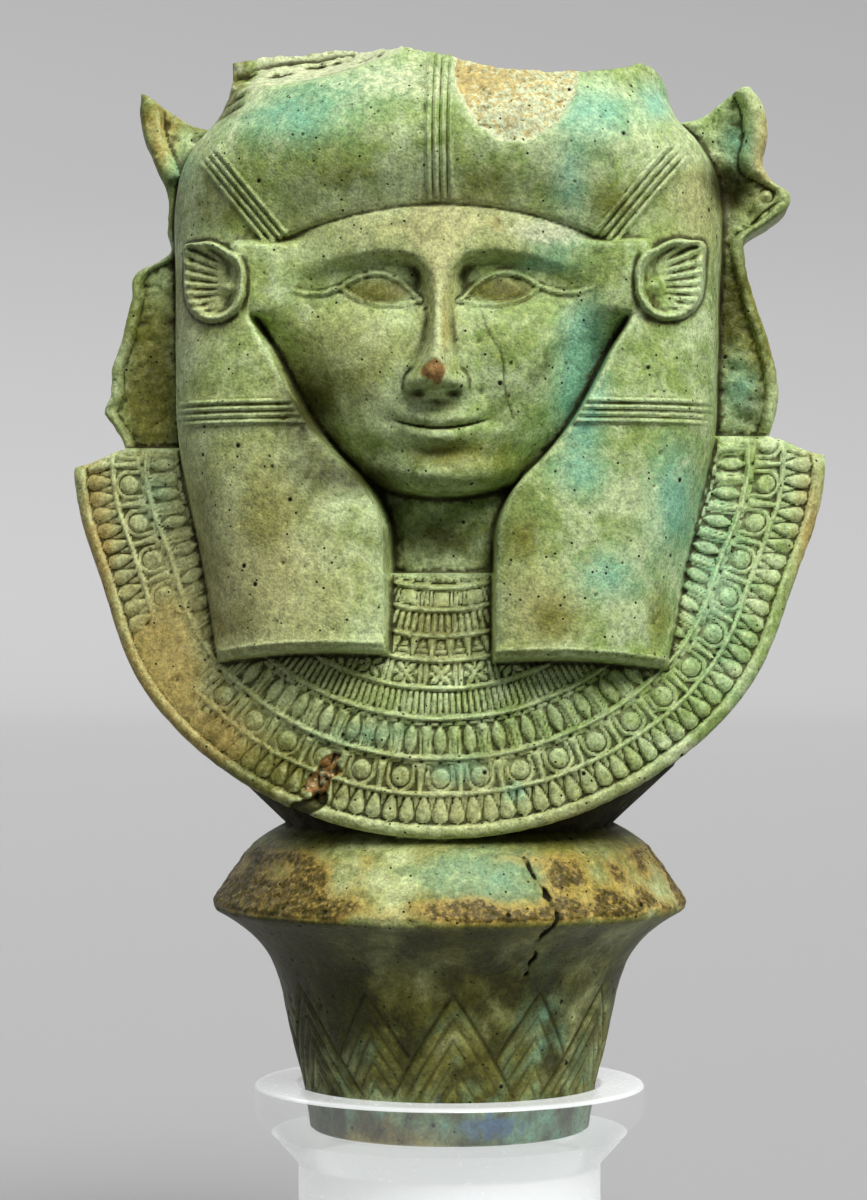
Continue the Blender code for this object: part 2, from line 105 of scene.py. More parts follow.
# Side stubs
SIDE_DEPTH = 4.4
HOOD_BORDER = 1.5  # width of the roll along the cobras' hoods
SCROLL_BORDER = 2.7  # and along the scrolls
SCROLL_FOOT_Z = 106.5

# Capital
STUB_RADIUS = 15.8
RIM_Z = 25.4
RIM_RADIUS = 26.85
NECK_RADIUS = 18.7
CROWN_TOP_Z = 34.6  # where the crown runs into the neck
NECK_TOP_Z = 44.0
NECK_SPREAD = 0.057  # share of its width that the neck gains sideways for each unit up
NECK_SPREAD_LOW = 34.8
NECK_SPREAD_HEIGHT = 6.6
PETALS = 12  # pointed sepals round the bell
PETAL_TOP_Z = 17.6
PETAL_SLOPE = 0.62  # half width gained for each unit down
PETAL_RADIUS = 17.6  # of the bell where the sepals are
PETAL_TURN = math.radians(-86.0)  # the middle one faces the front

# Cradle, in metres
FOOT_RADIUS = CRADLE_HIGH.x
FOOT_THICKNESS = 0.007
STEM_RADIUS = 0.0172
STEM_LENGTH = 0.0191
CONE_HEIGHT = 0.0056
CUP_HEIGHT = 0.0034
RECESS_DEPTH = 0.0054
CUP_WALL = 0.0049
FIT_GAP = 0.0003
LIP_CLEARANCE = 0.0015
EDGE_EASE = 0.0008
PROFILE_STEP = 0.0012  # longest stretch of its profile between two rings
RUBBED_LIP = 0.0004  # depth of the lip's rubbed top face
RUBBED_BELOW = RECESS_DEPTH + 0.0002  # under this depth it is rubbed again

# View: the photograph's camera is level, a little to the right of the front
CAMERA_DISTANCE = 0.4
CAMERA_HEIGHT = 0.09
CAMERA_TURN = math.radians(3.0)
CAMERA_ASIDE = 0.00183
PIXEL = 0.0001141  # size of a picture element on the axis plane
PICTURE_HEIGHT = 1200
SENSOR = 36.0
LIGHT_DISTANCE = 1.5
STAGE_GAP = 0.0001  # keeps the paper clear of the foot
STAGE_FLAT = 2.2  # radius of the level paper, and of the bend round it
STAGE_BEND = 1.15
STAGE_RADIUS = 3.4
STAGE_HEIGHT = 2.4
STAGE_UNDER = -0.03


def linear_rgb(code):
    """A colour from its sRGB hex code, as linear red, green, blue and full alpha."""
    parts = [int(code[i:i + 2], 16) / 255.0 for i in (1, 3, 5)]
    return tuple(p / 12.92 if p <= 0.04045 else ((p + 0.055) / 1.055) ** 2.4 for p in parts) + (1.0,)


def colour_property(name, description, code):
    return FloatVectorProperty(
        name=name, description=description, subtype="COLOR", size=4, min=0.0, max=1.0,
        default=linear_rgb(code))


# Curves and noise

def smooth_step(value):
    """0 up to 0, 1 from 1 on, and an even rise between."""
    share = np.clip(value, 0.0, 1.0)
    return share * share * (3.0 - 2.0 * share)


def curve_through(*stations):
    """A smooth function of one value through (value, result) pairs."""
    at, result = np.array(stations, float).T
    slope = np.gradient(result, at)

    def read(value):
        value = np.clip(value, at[0], at[-1])
        i = np.clip(np.searchsorted(at, value) - 1, 0, len(at) - 2)
        step = at[i + 1] - at[i]
        s = (value - at[i]) / step
        ends = result[i] * (1 + 2 * s) * (1 - s) ** 2 + result[i + 1] * s * s * (3 - 2 * s)
        return ends + step * s * (1 - s) * (slope[i] * (1 - s) - slope[i + 1] * s)

    return read


def path_through(points, count=16):
    """Points along a smooth path through a few given ones."""
    points = np.array(points, float)
    run = np.concatenate([[0.0], np.cumsum(np.hypot(*np.diff(points, axis=0).T))])
    at = np.linspace(0.0, run[-1], count)
    columns = [curve_through(*zip(run, points[:, axis]))(at) for axis in range(2)]
    return np.column_stack(columns)


def distance_to_path(x, z, path, reach):
    """Distance to a path where it is under reach, and reach elsewhere."""
    result = np.full(x.shape, float(reach))
    low, high = path.min(axis=0) - reach, path.max(axis=0) + reach
    near = (x > low[0]) & (x < high[0]) & (z > low[1]) & (z < high[1])
    px, pz = x[near], z[near]
    best = np.full(px.shape, float(reach))
    for start, end in zip(path[:-1], path[1:]):
        dx, dz = end - start
        share = np.clip(((px - start[0]) * dx + (pz - start[1]) * dz) / (dx * dx + dz * dz), 0, 1)
        away = np.hypot(px - start[0] - share * dx, pz - start[1] - share * dz)
        best = np.minimum(best, away)
    result[near] = best
    return result


def ridge(distance, half_width):
    """A rounded ridge of height 1 along the place where distance is 0."""
    return 0.5 + 0.5 * np.cos(math.pi * np.clip(np.abs(distance) / half_width, 0.0, 1.0))


def mound(x, z, centre, radii):
    """A soft hill of height 1."""
    return np.exp(-(((x - centre[0]) / radii[0]) ** 2) - ((z - centre[1]) / radii[1]) ** 2)


def blend_of(first, second, softness):
    """The larger of two depths, with a soft change from one to the other."""
    return 0.5 * (first + second + np.sqrt((first - second) ** 2 + softness ** 2))


def rounding(inside, radius):
    """How far a rounded edge falls back, where inside is the distance from it."""
    left = radius - np.clip(inside, 0.0, radius)
    return radius - np.sqrt(radius * radius - left * left)


def carved_edge(inside):
    """1 inside a carved shape and 0 outside it, with a slope as wide as the chisel leaves."""
    return smooth_step(inside / CHISEL + 0.5)


def noise(u, v, cell, seed):
    """Smooth noise from -1 to 1 that changes over about one cell."""
    size = 97
    table = np.random.default_rng(seed).uniform(-1.0, 1.0, (size, size))
    a, b = u / cell, v / cell
    i, j = np.floor(a).astype(int), np.floor(b).astype(int)
    s, t = smooth_step(a - i), smooth_step(b - j)
    low = table[i % size, j % size] * (1 - s) + table[(i + 1) % size, j % size] * s
    high = table[i % size, (j + 1) % size] * (1 - s) + table[(i + 1) % size, (j + 1) % size] * s
    return low * (1 - t) + high * t


def pits(u, v, cell, share, seed):
    """Round pits, one in some cells of a square grid, each 1 at its middle."""
    size = 97
    along, up, width, present = np.random.default_rng(seed).random((4, size, size))
    i, j = np.floor(u / cell).astype(int), np.floor(v / cell).astype(int)
    key = (i % size, j % size)
    du, dv = u / cell - i - 0.3 - 0.4 * along[key], v / cell - j - 0.3 - 0.4 * up[key]
    radius = 0.07 + 0.2 * width[key] ** 3
    return np.clip(1.0 - (du * du + dv * dv) / radius ** 2, 0.0, 1.0) * (present[key] < share)


# Outlines of the head, as distances that are positive inside

wig_half_width = curve_through(
    (50.0, 24.2), (56.0, 25.3), (62.5, 26.5), (69.0, 28.0), (77.0, 29.9), (86.0, 30.3), (94.0, 30.6),
    (100.0, 30.9), (104.5, 30.8), (108.5, 29.9), (111.2, 28.3), (113.4, 26.3), (115.5, 25.2),
    (123.0, 24.6),
)
lappet_inner_edge = curve_through(
    (50.0, 5.5), (58.0, 5.5), (64.0, 5.6), (68.6, 6.0), (72.7, 8.1), (75.6, 11.0), (79.4, 14.1),
    (83.0, 16.2), (87.0, 18.2), (90.3, 20.1), (96.0, 20.3),
)
break_line = curve_through(
    (-26.5, 118.9), (-25.0, 121.0), (-22.5, 121.6), (-17.0, 122.1), (-11.0, 122.5), (-7.0, 121.9),
    (-3.0, 120.1), (1.0, 119.3), (5.0, 118.1), (14.0, 117.6), (19.0, 118.2), (22.0, 119.2),
    (24.0, 118.4), (26.0, 116.5),
)
left_side_edge = curve_through(
    (77.0, 36.6), (79.0, 37.6), (81.2, 39.0), (83.0, 38.4), (86.0, 38.2), (89.7, 37.0), (94.0, 36.0),
    (97.4, 34.9), (98.6, 32.4), (102.0, 31.9), (105.8, 31.9), (108.7, 33.2), (113.2, 34.8), (117.4, 35.0),
)
right_side_edge = curve_through(
    (77.0, 35.4), (79.0, 36.4), (82.5, 37.2), (85.5, 37.0), (89.0, 36.1), (94.2, 34.4), (98.2, 33.5),
    (100.8, 33.8), (102.4, 36.4), (104.0, 38.2), (105.6, 38.4), (106.8, 36.8), (108.2, 35.7), (112.4, 36.0),
    (116.4, 35.0), (117.6, 34.0),
)
left_scroll_top = curve_through(
    (-36.0, 117.2), (-34.6, 117.2), (-32.0, 115.6), (-29.0, 113.8), (-25.0, 113.2),
)
right_scroll_top = curve_through(
    (25.0, 113.7), (29.0, 114.6), (31.7, 116.6), (33.5, 117.5), (36.0, 117.0),
)


def broken_edge(x):
    """The ragged line of the break along the top."""
    return break_line(x) - 0.3 * np.abs(noise(x, 0.0 * x, 1.7, 11)) - 0.2 * np.abs(noise(x, 0.0 * x, 0.6, 12))


def collar_inset(x, z):
    """Distance in from the collar's outer curve."""
    down = np.maximum(SHOULDER_Z - z, 0.0)
    angle = np.arctan2(down, np.abs(x))
    curve = 1.0 / np.hypot(np.cos(angle) / COLLAR_HALF_WIDTH, np.sin(angle) / COLLAR_DROP)
    flattened = 1.4 * np.exp(-(((np.degrees(angle) - 19.0) / 12.0) ** 2))
    return curve - flattened - np.hypot(x, down)


def collar_top(x):
    """The top of the collar's ends, a little higher on the right."""
    return 77.1 + 1.2 * smooth_step(x / 10.0 + 0.5) - 2.0 * smooth_step((np.abs(x) - 35.5) / 7.0)


def outline(x, z):
    """Distance inside the head's outline from the shoulders and collar up to the break."""
    worn = 0.14 * np.abs(noise(x, z, 1.6, 21))
    inset = collar_inset(x, z) - worn
    collar = np.minimum(inset, collar_top(x) - z)
    wig = np.minimum(wig_half_width(z) - np.abs(x), broken_edge(x) - z)
    wig = np.minimum(wig, z - SHOULDER_Z + 10.0)
    left = np.minimum(x + left_side_edge(z) - 2.5 * worn, left_scroll_top(x) - z)
    left = np.minimum(np.minimum(left, -x), z - 70.0)
    right = np.minimum(right_side_edge(z) - x - worn, right_scroll_top(x) - z)
    right = np.minimum(np.minimum(right, x), z - 70.0)
    return np.maximum(np.maximum(collar, wig), np.maximum(left, right))


# Motifs of the broad collar. across is the distance from a motif's middle line and up the distance
# from its row's outer edge; pitch and height are the size of its field. Each gives 1 where it stands up.

drop_width = curve_through((0.0, 0.0), (0.08, 0.55), (0.25, 0.84), (0.5, 0.76), (1.0, 0.3))


def drops(across, up, pitch, height):
    """Long drops with a small dart between their tips."""
    side = np.abs(across)
    drop = 0.5 * pitch * drop_width(up / height) - side - 0.04
    dart = 0.2 * pitch * (up / height - 0.6) / 0.4 - (0.5 * pitch - side)
    return np.maximum(carved_edge(drop), 0.8 * carved_edge(dart))


def dashes(across, up, pitch, level):
    """Two short dashes in each field, on one line."""
    side = np.abs(np.abs(across) - 0.25 * pitch)
    return carved_edge(np.minimum(0.19 * pitch - side, 0.16 - np.abs(up - level)))


def discs(across, up, pitch, height):
    """Discs hung in loops, with flared columns between them."""
    side = np.abs(across)
    away = np.hypot(across, up - 1.45)
    disc = 0.98 - away
    loop = 0.16 - np.abs(np.where(up > 1.45, side, away) - 1.42)
    column = np.minimum(0.2 + 0.36 * (up / 3.0) ** 2 - (0.5 * pitch - side), 2.95 - up)
    body = np.maximum(carved_edge(disc), 0.75 * carved_edge(np.minimum(loop, 2.9 - up)))
    body = np.maximum(body, 0.9 * carved_edge(column))
    return np.maximum(body, 0.8 * dashes(across, up, pitch, height - 0.25))


def buds(across, up, pitch, height):
    """Pointed buds, with open flowers between them."""
    side = np.abs(across)
    bud = 0.62 * (1.0 - ((up - 1.55) / 1.6) ** 2) - side
    edge = 0.5 * pitch - side
    flower = np.minimum(0.16 + 0.42 * (up / 3.1) ** 2 - edge, 3.05 - up)
    leaf = np.minimum(0.1 - np.abs(edge - 0.42 - 0.2 * up / 3.0), 2.6 - up)
    body = np.maximum(carved_edge(bud), 0.9 * carved_edge(flower))
    body = np.maximum(body, 0.6 * carved_edge(leaf))
    return np.maximum(body, 0.8 * dashes(across, up, pitch, height - 0.25))


def bars(across, up, pitch, height):
    """Fine upright bars."""
    return ridge(across, 0.5 * pitch) * carved_edge(np.minimum(up, height - up) - 0.05)


def crosses(across, up, pitch, height):
    """Four petals set crosswise in a square, with two bars between the squares."""
    b = up - 0.5 * height
    first, second = (across + b) / math.sqrt(2.0), (across - b) / math.sqrt(2.0)
    petals = [0.33 * (1.0 - ((np.abs(p) - 0.8) / 0.78) ** 2) - np.abs(q)
              for p, q in ((first, second), (second, first))]
    wedges = [0.24 * (np.abs(p) - 0.5) / 0.7 - np.abs(q) for p, q in ((across, b), (b, across))]
    bar = 0.14 - np.abs(0.5 * pitch - np.abs(across) - 0.3)
    square = np.minimum(1.3 - np.abs(across), 0.5 * height - np.abs(b))
    inner = np.maximum(np.maximum(*petals), np.maximum(*wedges))
    return np.maximum(carved_edge(np.minimum(inner, square)), 0.85 * carved_edge(bar))


def triangles(across, up, pitch, height):
    """Striped triangles on their base, with plain wedges hanging between them."""
    side = np.abs(across)
    striped = 0.38 * pitch * (1.0 - up / height) - side
    wedge = 0.05 * pitch + 0.17 * pitch * up / height - (0.5 * pitch - side)
    stripes = 0.55 + 0.45 * np.cos(2.0 * math.pi * up / 0.62)
    return np.maximum(carved_edge(striped) * stripes, carved_edge(wedge))


def blocks(across, up, pitch, height):
    """Plain blocks, with four bars between them."""
    side = np.abs(across)
    block = 0.23 * pitch - side
    run = 0.5 * pitch - side
    between = 0.5 - 0.5 * np.cos(2.0 * math.pi * run / (0.13 * pitch))
    ends = carved_edge(np.minimum(up, height - up) - 0.05)
    return np.maximum(carved_edge(block), between * (block < 0.0)) * ends


def beads(across, up, pitch, height):
    """A string of short beads."""
    return carved_edge(np.minimum(0.36 * pitch - np.abs(across), 0.32 * height - np.abs(up - 0.5 * height)))


# The rows, from the outer edge inwards: motif, inset of the row's two edges, motifs in the half circle
COLLAR_ROWS = (
    (drops, 1.6, 4.5, 66), (discs, 5.1, 8.5, 25), (buds, 9.1, 12.75, 30), (bars, 13.5, 15.9, 124),
    (crosses, 16.6, 19.0, 19), (triangles, 19.65, 21.55, 32), (bars, 22.3, 24.3, 76),
    (blocks, 25.1, 26.7, 13), (beads, 27.6, 28.5, 49),
)


def collar_motifs(x, z, inset, rows):
    """How far the collar's motifs stand up, from 0 to 1, and half way where there is none."""
    result = np.full(x.shape, 0.5)
    angle = np.arctan2(x, np.maximum(SHOULDER_Z - z, 0.0))
    for motif, outer, inner, count in rows:
        here = (inset > outer) & (inset < inner)
        pitch = math.pi * (COLLAR_HALF_WIDTH - 0.5 * (outer + inner)) / count
        rise = np.maximum(z[here] - SHOULDER_Z, 0.0) * np.sign(x[here]) / pitch
        place = angle[here] * count / math.pi + rise
        across = (place - np.round(place)) * pitch
        result[here] = motif(across, inset[here] - outer, pitch, inner - outer)
    return result


def wear(x, z):
    """1 where the collar's carving is crisp, less where it has been rubbed away."""
    rubbed = 1.15 * mound(x, z, (-31.5, 51.0), (5.5, 8.5)) + 0.7 * mound(x, z, (-39.5, 60.0), (2.4, 14.0))
    rubbed += 0.5 * mound(x, z, (-24.0, 45.0), (5.0, 3.5)) + 0.35 * mound(x, z, (34.0, 48.0), (4.0, 4.0))
    soft = 0.86 + 0.2 * noise(x, z, 6.0, 31)
    return np.clip(soft - rubbed, 0.08, 1.0)


# Depths of the head's parts in front of its mid plane

def collar_depth(x, z, rows, lines):
    """The collar's swelling form, with so many of its row lines and the motifs of its rows."""
    inset = collar_inset(x, z)
    across = np.clip(1.0 - (x / 43.5) ** 2, 0.0, 1.0) ** 0.8
    up = 1.0 - 0.5 * np.clip((z - 48.0) / 27.0, 0.0, 1.4) ** 1.3
    depth = COLLAR_EDGE_DEPTH + COLLAR_SWELL * across * up
    depth -= rounding(inset, 1.0)
    crisp = wear(x, z)
    wander = inset + 0.07 * noise(x, z, 2.2, 32)
    for line in ROW_LINES[:lines]:
        depth += crisp * ROW_LINE_HEIGHT * ridge(wander - line, 0.36)
    depth += ROW_LINE_HEIGHT * smooth_step((RIM_WIDTH + 0.25 - inset) / 0.4)
    depth += 0.5 * crisp * (collar_motifs(x, z, wander, rows) - 0.5)
    return depth


SNAKE_EYE = (35.8, 105.3)
SNAKE_BROW = path_through(((33.6, 106.4), (35.4, 106.9), (37.2, 106.3), (38.6, 105.6)))
SNAKE_JAW = path_through(((38.6, 105.0), (37.0, 104.5), (35.4, 103.4), (34.2, 102.2)))


def side_depth(x, z):
    """The cobras and scroll stubs beside the wig: a rolled border round a sunk, rough field."""
    edge = outline(x, z)
    side = np.abs(x)
    outer = np.where(x < 0.0, left_side_edge(z), right_side_edge(z)) - side
    scroll = smooth_step((z - SCROLL_FOOT_Z) / 1.5)
    width = HOOD_BORDER + (SCROLL_BORDER - HOOD_BORDER) * scroll
    place = np.clip(outer / width, 0.0, 1.0)
    roll = np.sqrt(np.clip(1.0 - (2.0 * place - 1.0) ** 2, 0.0, 1.0))
    field = smooth_step((outer - width + 0.4) / 1.0)
    rough = 0.22 * noise(x, z, 1.1, 41) + 0.14 * noise(x, z, 0.5, 42)
    depth = SIDE_DEPTH + (0.6 + 1.2 * scroll) * roll - rounding(edge, 0.6) + field * rough
    depth -= field * (0.1 + scroll * 0.22 * (outer - width))
    pocket = mound(x, z, (31.6, 105.4), (2.8, 2.6))
    depth += 1.0 * mound(x, z, (35.8, 104.7), (2.2, 1.7)) - 1.5 * pocket
    eye = np.hypot(x - SNAKE_EYE[0], z - SNAKE_EYE[1])
    depth += 0.4 * ridge(eye, 0.6) - 0.3 * ridge(eye - 0.8, 0.3)
    depth += 0.3 * ridge(distance_to_path(x, z, SNAKE_BROW, 1.0), 0.4)
    return depth - 0.35 * ridge(distance_to_path(x, z, SNAKE_JAW, 1.0), 0.3)


def arch_z(x):
    """The lower edge of the wig over the forehead."""
    return ARCH_TOP_Z - ARCH_DROP * (x / ARCH_HALF_WIDTH) ** 2


def lappet_end(x):
    """The lower end of the lappets, a little lower on the right."""
    return LAPPET_END_Z - 0.8 * smooth_step(x / 10.0 + 0.5) - 1.2 * ((np.abs(x) - 12.0) / 12.5) ** 2


def wig_inside(x, z):
    """Distance inside the wig's edge, from the face, the neck, the outer side and the lower end."""
    inner = np.maximum(np.abs(x) - lappet_inner_edge(z), z - arch_z(x))
    outer = wig_half_width(z) - np.abs(x)
    return inner, outer, z - lappet_end(x)


wig_front = curve_through(
    (50.0, 24.4), (60.0, 24.8), (75.0, 24.2), (90.0, 23.3), (98.0, 22.9), (103.0, 23.6), (107.0, 24.5),
    (110.5, 24.8), (113.5, 23.7), (117.0, 21.0), (122.0, 16.4),
)


def wig_depth(x, z, under):
    """The wig, which lies on the collar's plain form under it."""
    power = LAPPET_ROUNDNESS + (WIG_ROUNDNESS - LAPPET_ROUNDNESS) * smooth_step((z - 84.0) / 18.0)
    across = np.clip(np.abs(x) / (wig_half_width(z) + 0.2), 0.0, 1.0) ** power
    depth = wig_front(z) * (1.0 - across) ** (1.0 / power)
    inner, outer, end = wig_inside(x, z)
    over_brow = smooth_step((22.0 - np.abs(x)) / 4.0) * (1.0 - smooth_step((z - arch_z(x)) / 5.5))
    depth -= 0.9 * over_brow * (z > 94.0)
    lappet = smooth_step((SHOULDER_Z + 9.0 - z) / 14.0)
    depth = blend_of(depth, under + 2.6, 1.5)
    depth -= rounding(inner, 0.9) + lappet * (0.4 * rounding(inner, 7.0) + 0.7 * rounding(outer, 3.0))
    return depth - rounding(end, 1.5) + wig_bands(x, z)


def wig_bands(x, z):
    """The ribbons tied round the wig: one down the middle, two slanting, one on each lappet."""
    lines = sum(ridge(x - 0.1 - offset, 0.34) for offset in (-1.2, -0.4, 0.4, 1.2))
    result = lines * smooth_step((z - ARCH_TOP_Z - 0.3) * 2)
    out, up = np.abs(x) - RIBBON_FOOT[0], z - RIBBON_FOOT[1]
    along = out * math.cos(RIBBON_SLANT) + up * math.sin(RIBBON_SLANT)
    across = out * -math.sin(RIBBON_SLANT) + up * math.cos(RIBBON_SLANT)
    lines = sum(ridge(across - offset, 0.36) for offset in (-1.1, -0.35, 0.4, 1.15))
    result += lines * smooth_step(along + 0.5) * smooth_step(14.0 - along)
    lines = sum(ridge(z - level, 0.33) for level in (79.2, 79.95, 80.7, 81.45))
    result += lines * (np.abs(x) > 10.0)
    result += 0.8 * ridge(z - lappet_end(x) - 1.35, 0.3)
    return BAND_HEIGHT * result


face_profile = curve_through(
    (70.0, 19.0), (71.3, 20.9), (73.0, 22.3), (75.8, 21.7), (78.7, 22.6), (81.0, 22.7), (84.0, 22.8),
    (89.0, 22.9), (93.0, 22.6), (96.8, 23.2), (98.5, 23.2), (100.5, 23.0), (102.5, 22.5), (104.5, 21.9),
)
face_half_width = curve_through(
    (70.0, 8.4), (74.0, 11.0), (78.0, 14.8), (82.0, 18.4), (88.0, 22.0), (94.0, 24.5), (104.0, 25.0))
nose_height = curve_through(
    (81.3, 0.0), (82.1, 1.5), (83.0, 3.8), (84.2, 5.0), (85.6, 4.7), (88.0, 3.8), (92.0, 2.4),
    (95.5, 1.1), (98.5, 0.0),
)
nose_width = curve_through(
    (81.6, 2.2), (83.2, 2.4), (84.8, 2.1), (87.0, 1.4), (92.0, 1.0), (96.0, 1.5), (98.5, 2.4))
brow_z = curve_through(
    (0.0, 95.6), (1.5, 96.2), (2.7, 97.3), (5.0, 97.9), (9.0, 97.6), (13.0, 96.6), (17.0, 95.0), (20.0, 93.6))

UPPER_LID = ((2.2, 92.3), (4.2, 94.3), (6.5, 95.3), (9.0, 94.9), (10.8, 93.9), (13.2, 93.2), (16.6, 93.6))
LOWER_LID = ((2.2, 92.3), (4.2, 91.9), (6.5, 91.9), (8.8, 92.5), (10.8, 93.8))


def eye_relief(x, z):
    """Sockets under the brow's edge, eyeballs, and fine lids whose line is drawn out to the temple."""
    side = np.abs(x)
    upper = distance_to_path(side, z, path_through(UPPER_LID, 28), 2.0)
    lower = distance_to_path(side, z, path_through(LOWER_LID), 2.0)
    fading = 1.0 - smooth_step((side - 6.0) / 12.0)
    socket = smooth_step((brow_z(side) - z) / 1.9) * smooth_step((z - 89.5) / 5.0)
    socket *= smooth_step((side - 0.8) / 1.9) * (0.15 + 0.85 * fading)
    socket *= 1.0 + 0.5 * mound(side, z, (2.6, 95.0), (1.6, 2.6))
    ball = mound(side, z, (6.5, 93.4), (3.6, 1.5))
    result = 0.6 * ball - 1.8 * socket + 0.38 * ridge(upper, 0.26) + 0.26 * ridge(lower, 0.24)
    return result - 0.1 * (ridge(upper - 0.5, 0.25) + ridge(lower - 0.45, 0.25))


def mouth_relief(x, z):
    """Two full lips that curve up, with a sunk seam and corners."""
    side = np.clip(np.abs(x) / 5.2, 0.0, 1.0)
    line = 78.5 + 1.0 * side ** 2
    fullness = np.clip(1.0 - side ** 2, 0.0, 1.0) ** 0.9
    bow = 0.95 - 0.15 * ridge(x, 1.0)
    upper = np.exp(-(((z - line - bow) / 0.75) ** 2)) * fullness
    lower = np.exp(-(((z - line + 1.1) / 0.95) ** 2)) * np.clip(1.0 - 1.6 * side ** 2, 0.0, 1.0)
    seam = ridge(z - line, 0.34) * smooth_step((5.6 - np.abs(x)) / 1.6)
    corners = mound(np.abs(x), z, (5.5, 79.4), (0.9, 0.7))
    below = mound(x, z, (0.0, 76.0), (3.0, 0.9))
    return 0.9 * upper + 1.1 * lower - 0.5 * seam - 0.25 * corners - 0.4 * below


def nose_side(x, z):
    """Distance from the nose's middle line, which leans a little to the left at the tip."""
    return np.abs(x + 0.35 * smooth_step((88.0 - z) / 5.0))


def face_depth(x, z):
    """The whole face, which falls back to the jaw and the temples."""
    side, nose = np.abs(x), nose_side(x, z)
    depth = face_profile(z) - 9.0 * np.clip(side / face_half_width(z), 0.0, 1.2) ** 2.3
    depth += nose_height(z) * np.exp(-((nose / nose_width(z)) ** 2.4))
    depth += 1.3 * mound(nose, z, (2.2, 83.1), (1.0, 1.1)) - 1.0 * mound(nose, z, (1.9, 82.2), (0.75, 0.5))
    wing = np.hypot(nose - 2.0, 0.85 * (z - 83.1)) - 1.6
    depth -= 0.3 * ridge(wing, 0.5) * smooth_step((nose - 2.0) / 1.0) * smooth_step((z - 81.8) / 1.2)
    depth += 0.8 * mound(side, z, (8.0, 86.0), (5.0, 5.0)) + 0.3 * mound(x, z, (0.0, 73.1), (3.6, 1.8))
    depth -= 0.7 * mound(side, z, (6.2, 79.6), (1.4, 1.8)) + 0.4 * mound(side, z, (4.8, 83.0), (1.2, 2.4))
    return depth + eye_relief(x, z) + mouth_relief(x, z)


def inner_depth(x, z, under):
    """The face over the neck over the collar, between the wig's edges."""
    neck = 15.4 - 0.05 * x * x + 0.12 * noise(x, z, 0.8, 51)
    jaw = z - CHIN_Z - 1.6 * (x / 8.0) ** 2
    face = face_depth(x, z) - rounding(jaw, 3.0)
    face_here = smooth_step(jaw / 0.7 + 0.5)
    low = np.where(z > NECK_FOOT_Z, neck, np.maximum(neck, under))
    return low + (face - low) * face_here


ear_reach = curve_through(
    (-180.0, 2.4), (-125.0, 2.9), (-90.0, 3.7), (-63.0, 4.3), (-39.0, 4.8), (-9.0, 5.2), (10.0, 5.5),
    (30.0, 6.3), (45.0, 7.5), (56.0, 6.5), (65.0, 6.0), (90.0, 4.4), (116.0, 3.7), (150.0, 2.8), (180.0, 2.4),
)
EAR_PIT = (23.3, 93.9)


def add_ears(x, z, depth):
    """Cow's ears that grow out of the temples: two soft bands, a knob, and ribs that fan out."""
    side = np.abs(x)
    on_cheek = 1.0 - smooth_step((side - 17.5) / 3.0)
    rise = smooth_step((z - 90.4 + 4.0 * on_cheek) / (0.9 + 5.0 * on_cheek)) * smooth_step((99.4 - z) / 1.2)
    rise *= smooth_step((side - 12.5) / 6.5) * smooth_step((23.4 - side) / 1.6)
    root = 21.9 - 0.05 * (side - 13.0) + 0.22 * ridge(side - 20.1, 0.9) - 0.15 * ridge(side - 21.2, 0.6)
    depth = depth + (np.maximum(root, depth) - depth) * rise

    du, dv = side - EAR_PIT[0], z - EAR_PIT[1]
    inside = ear_reach(np.degrees(np.arctan2(dv, du))) - np.hypot(du, dv)
    leaf = 0.45 * (22.3 - 0.5 * (side - 20.0)) + 0.55 * (depth + 1.2)
    open_side = smooth_step((du - 2.2) / 1.6) * smooth_step(5.0 - dv)
    dish = smooth_step((inside - 0.5) / 1.4)
    leaf += 0.5 * ridge(inside - 0.6, 0.8) * (1.0 - open_side) - dish * (1.1 - 0.5 * open_side)
    fan = np.arctan2(dv + 0.4, du + 5.2)
    ribbed = smooth_step((du - 0.5) / 1.2) * smooth_step((inside - 0.9 + open_side) / 0.6)
    leaf += 0.24 * np.cos(fan * 58.0) * ribbed
    leaf += 1.2 * mound(side, z, (EAR_PIT[0] - 0.1, EAR_PIT[1]), (0.8, 0.8))
    return depth + (np.maximum(leaf, depth) - depth) * smooth_step(inside / 0.6 + 0.2)


def relief(x, z, rows, lines):
    """Depth of the carved surface in front of the mid plane."""
    collar = collar_depth(x, z, rows, lines)
    inset = collar_inset(x, z)
    on_collar = np.minimum(inset, collar_top(x) - z)
    side = side_depth(x, z)
    end_fall = rounding(collar_top(x) - z, 1.6)
    ground = np.where(on_collar > 0.0, np.maximum(collar - end_fall, side * (z > SHOULDER_Z)), side)
    inner, outer, end = wig_inside(x, z)
    middle = (np.abs(x) < lappet_inner_edge(z) + 1.0) & (z > LAPPET_END_Z - 1.0)
    ground = np.where(middle, inner_depth(x, z, collar), ground)
    plain = collar_depth(x, z, (), 0) * smooth_step((SHOULDER_Z + 3.5 - z) / 6.0)
    wig = wig_depth(x, z, plain)
    here = np.minimum(np.minimum(inner, outer), end)
    depth = ground + (np.maximum(wig, SIDE_DEPTH) - ground) * smooth_step(here / 0.9 + 0.35)
    return add_ears(x, z, depth)


# Damage on the front

facet_foot = curve_through(
    (-25.0, 114.6), (-21.0, 115.7), (-14.0, 116.9), (-8.5, 118.5), (-5.0, 119.8), (2.0, 123.0),
)
FLAKE = (8.2, 116.8)  # middle of the pale flake on the upper right
FLAKE_RADII = (7.0, 7.9)
CHIP = (-12.6, 41.0)  # orange chip low on the collar, and the hollow beside it
CHIP_HOLLOW = (-14.2, 37.8)
NOSE_TIP = (-0.4, 84.4)
FACE_CRACK = path_through(((4.6, 91.0), (5.2, 89.0), (6.6, 86.6), (7.1, 82.2), (7.9, 79.6)))
BOX_STEPS = (113.6, 115.0, 116.4, 117.6)  # levels of the worn steps on the box's left foot


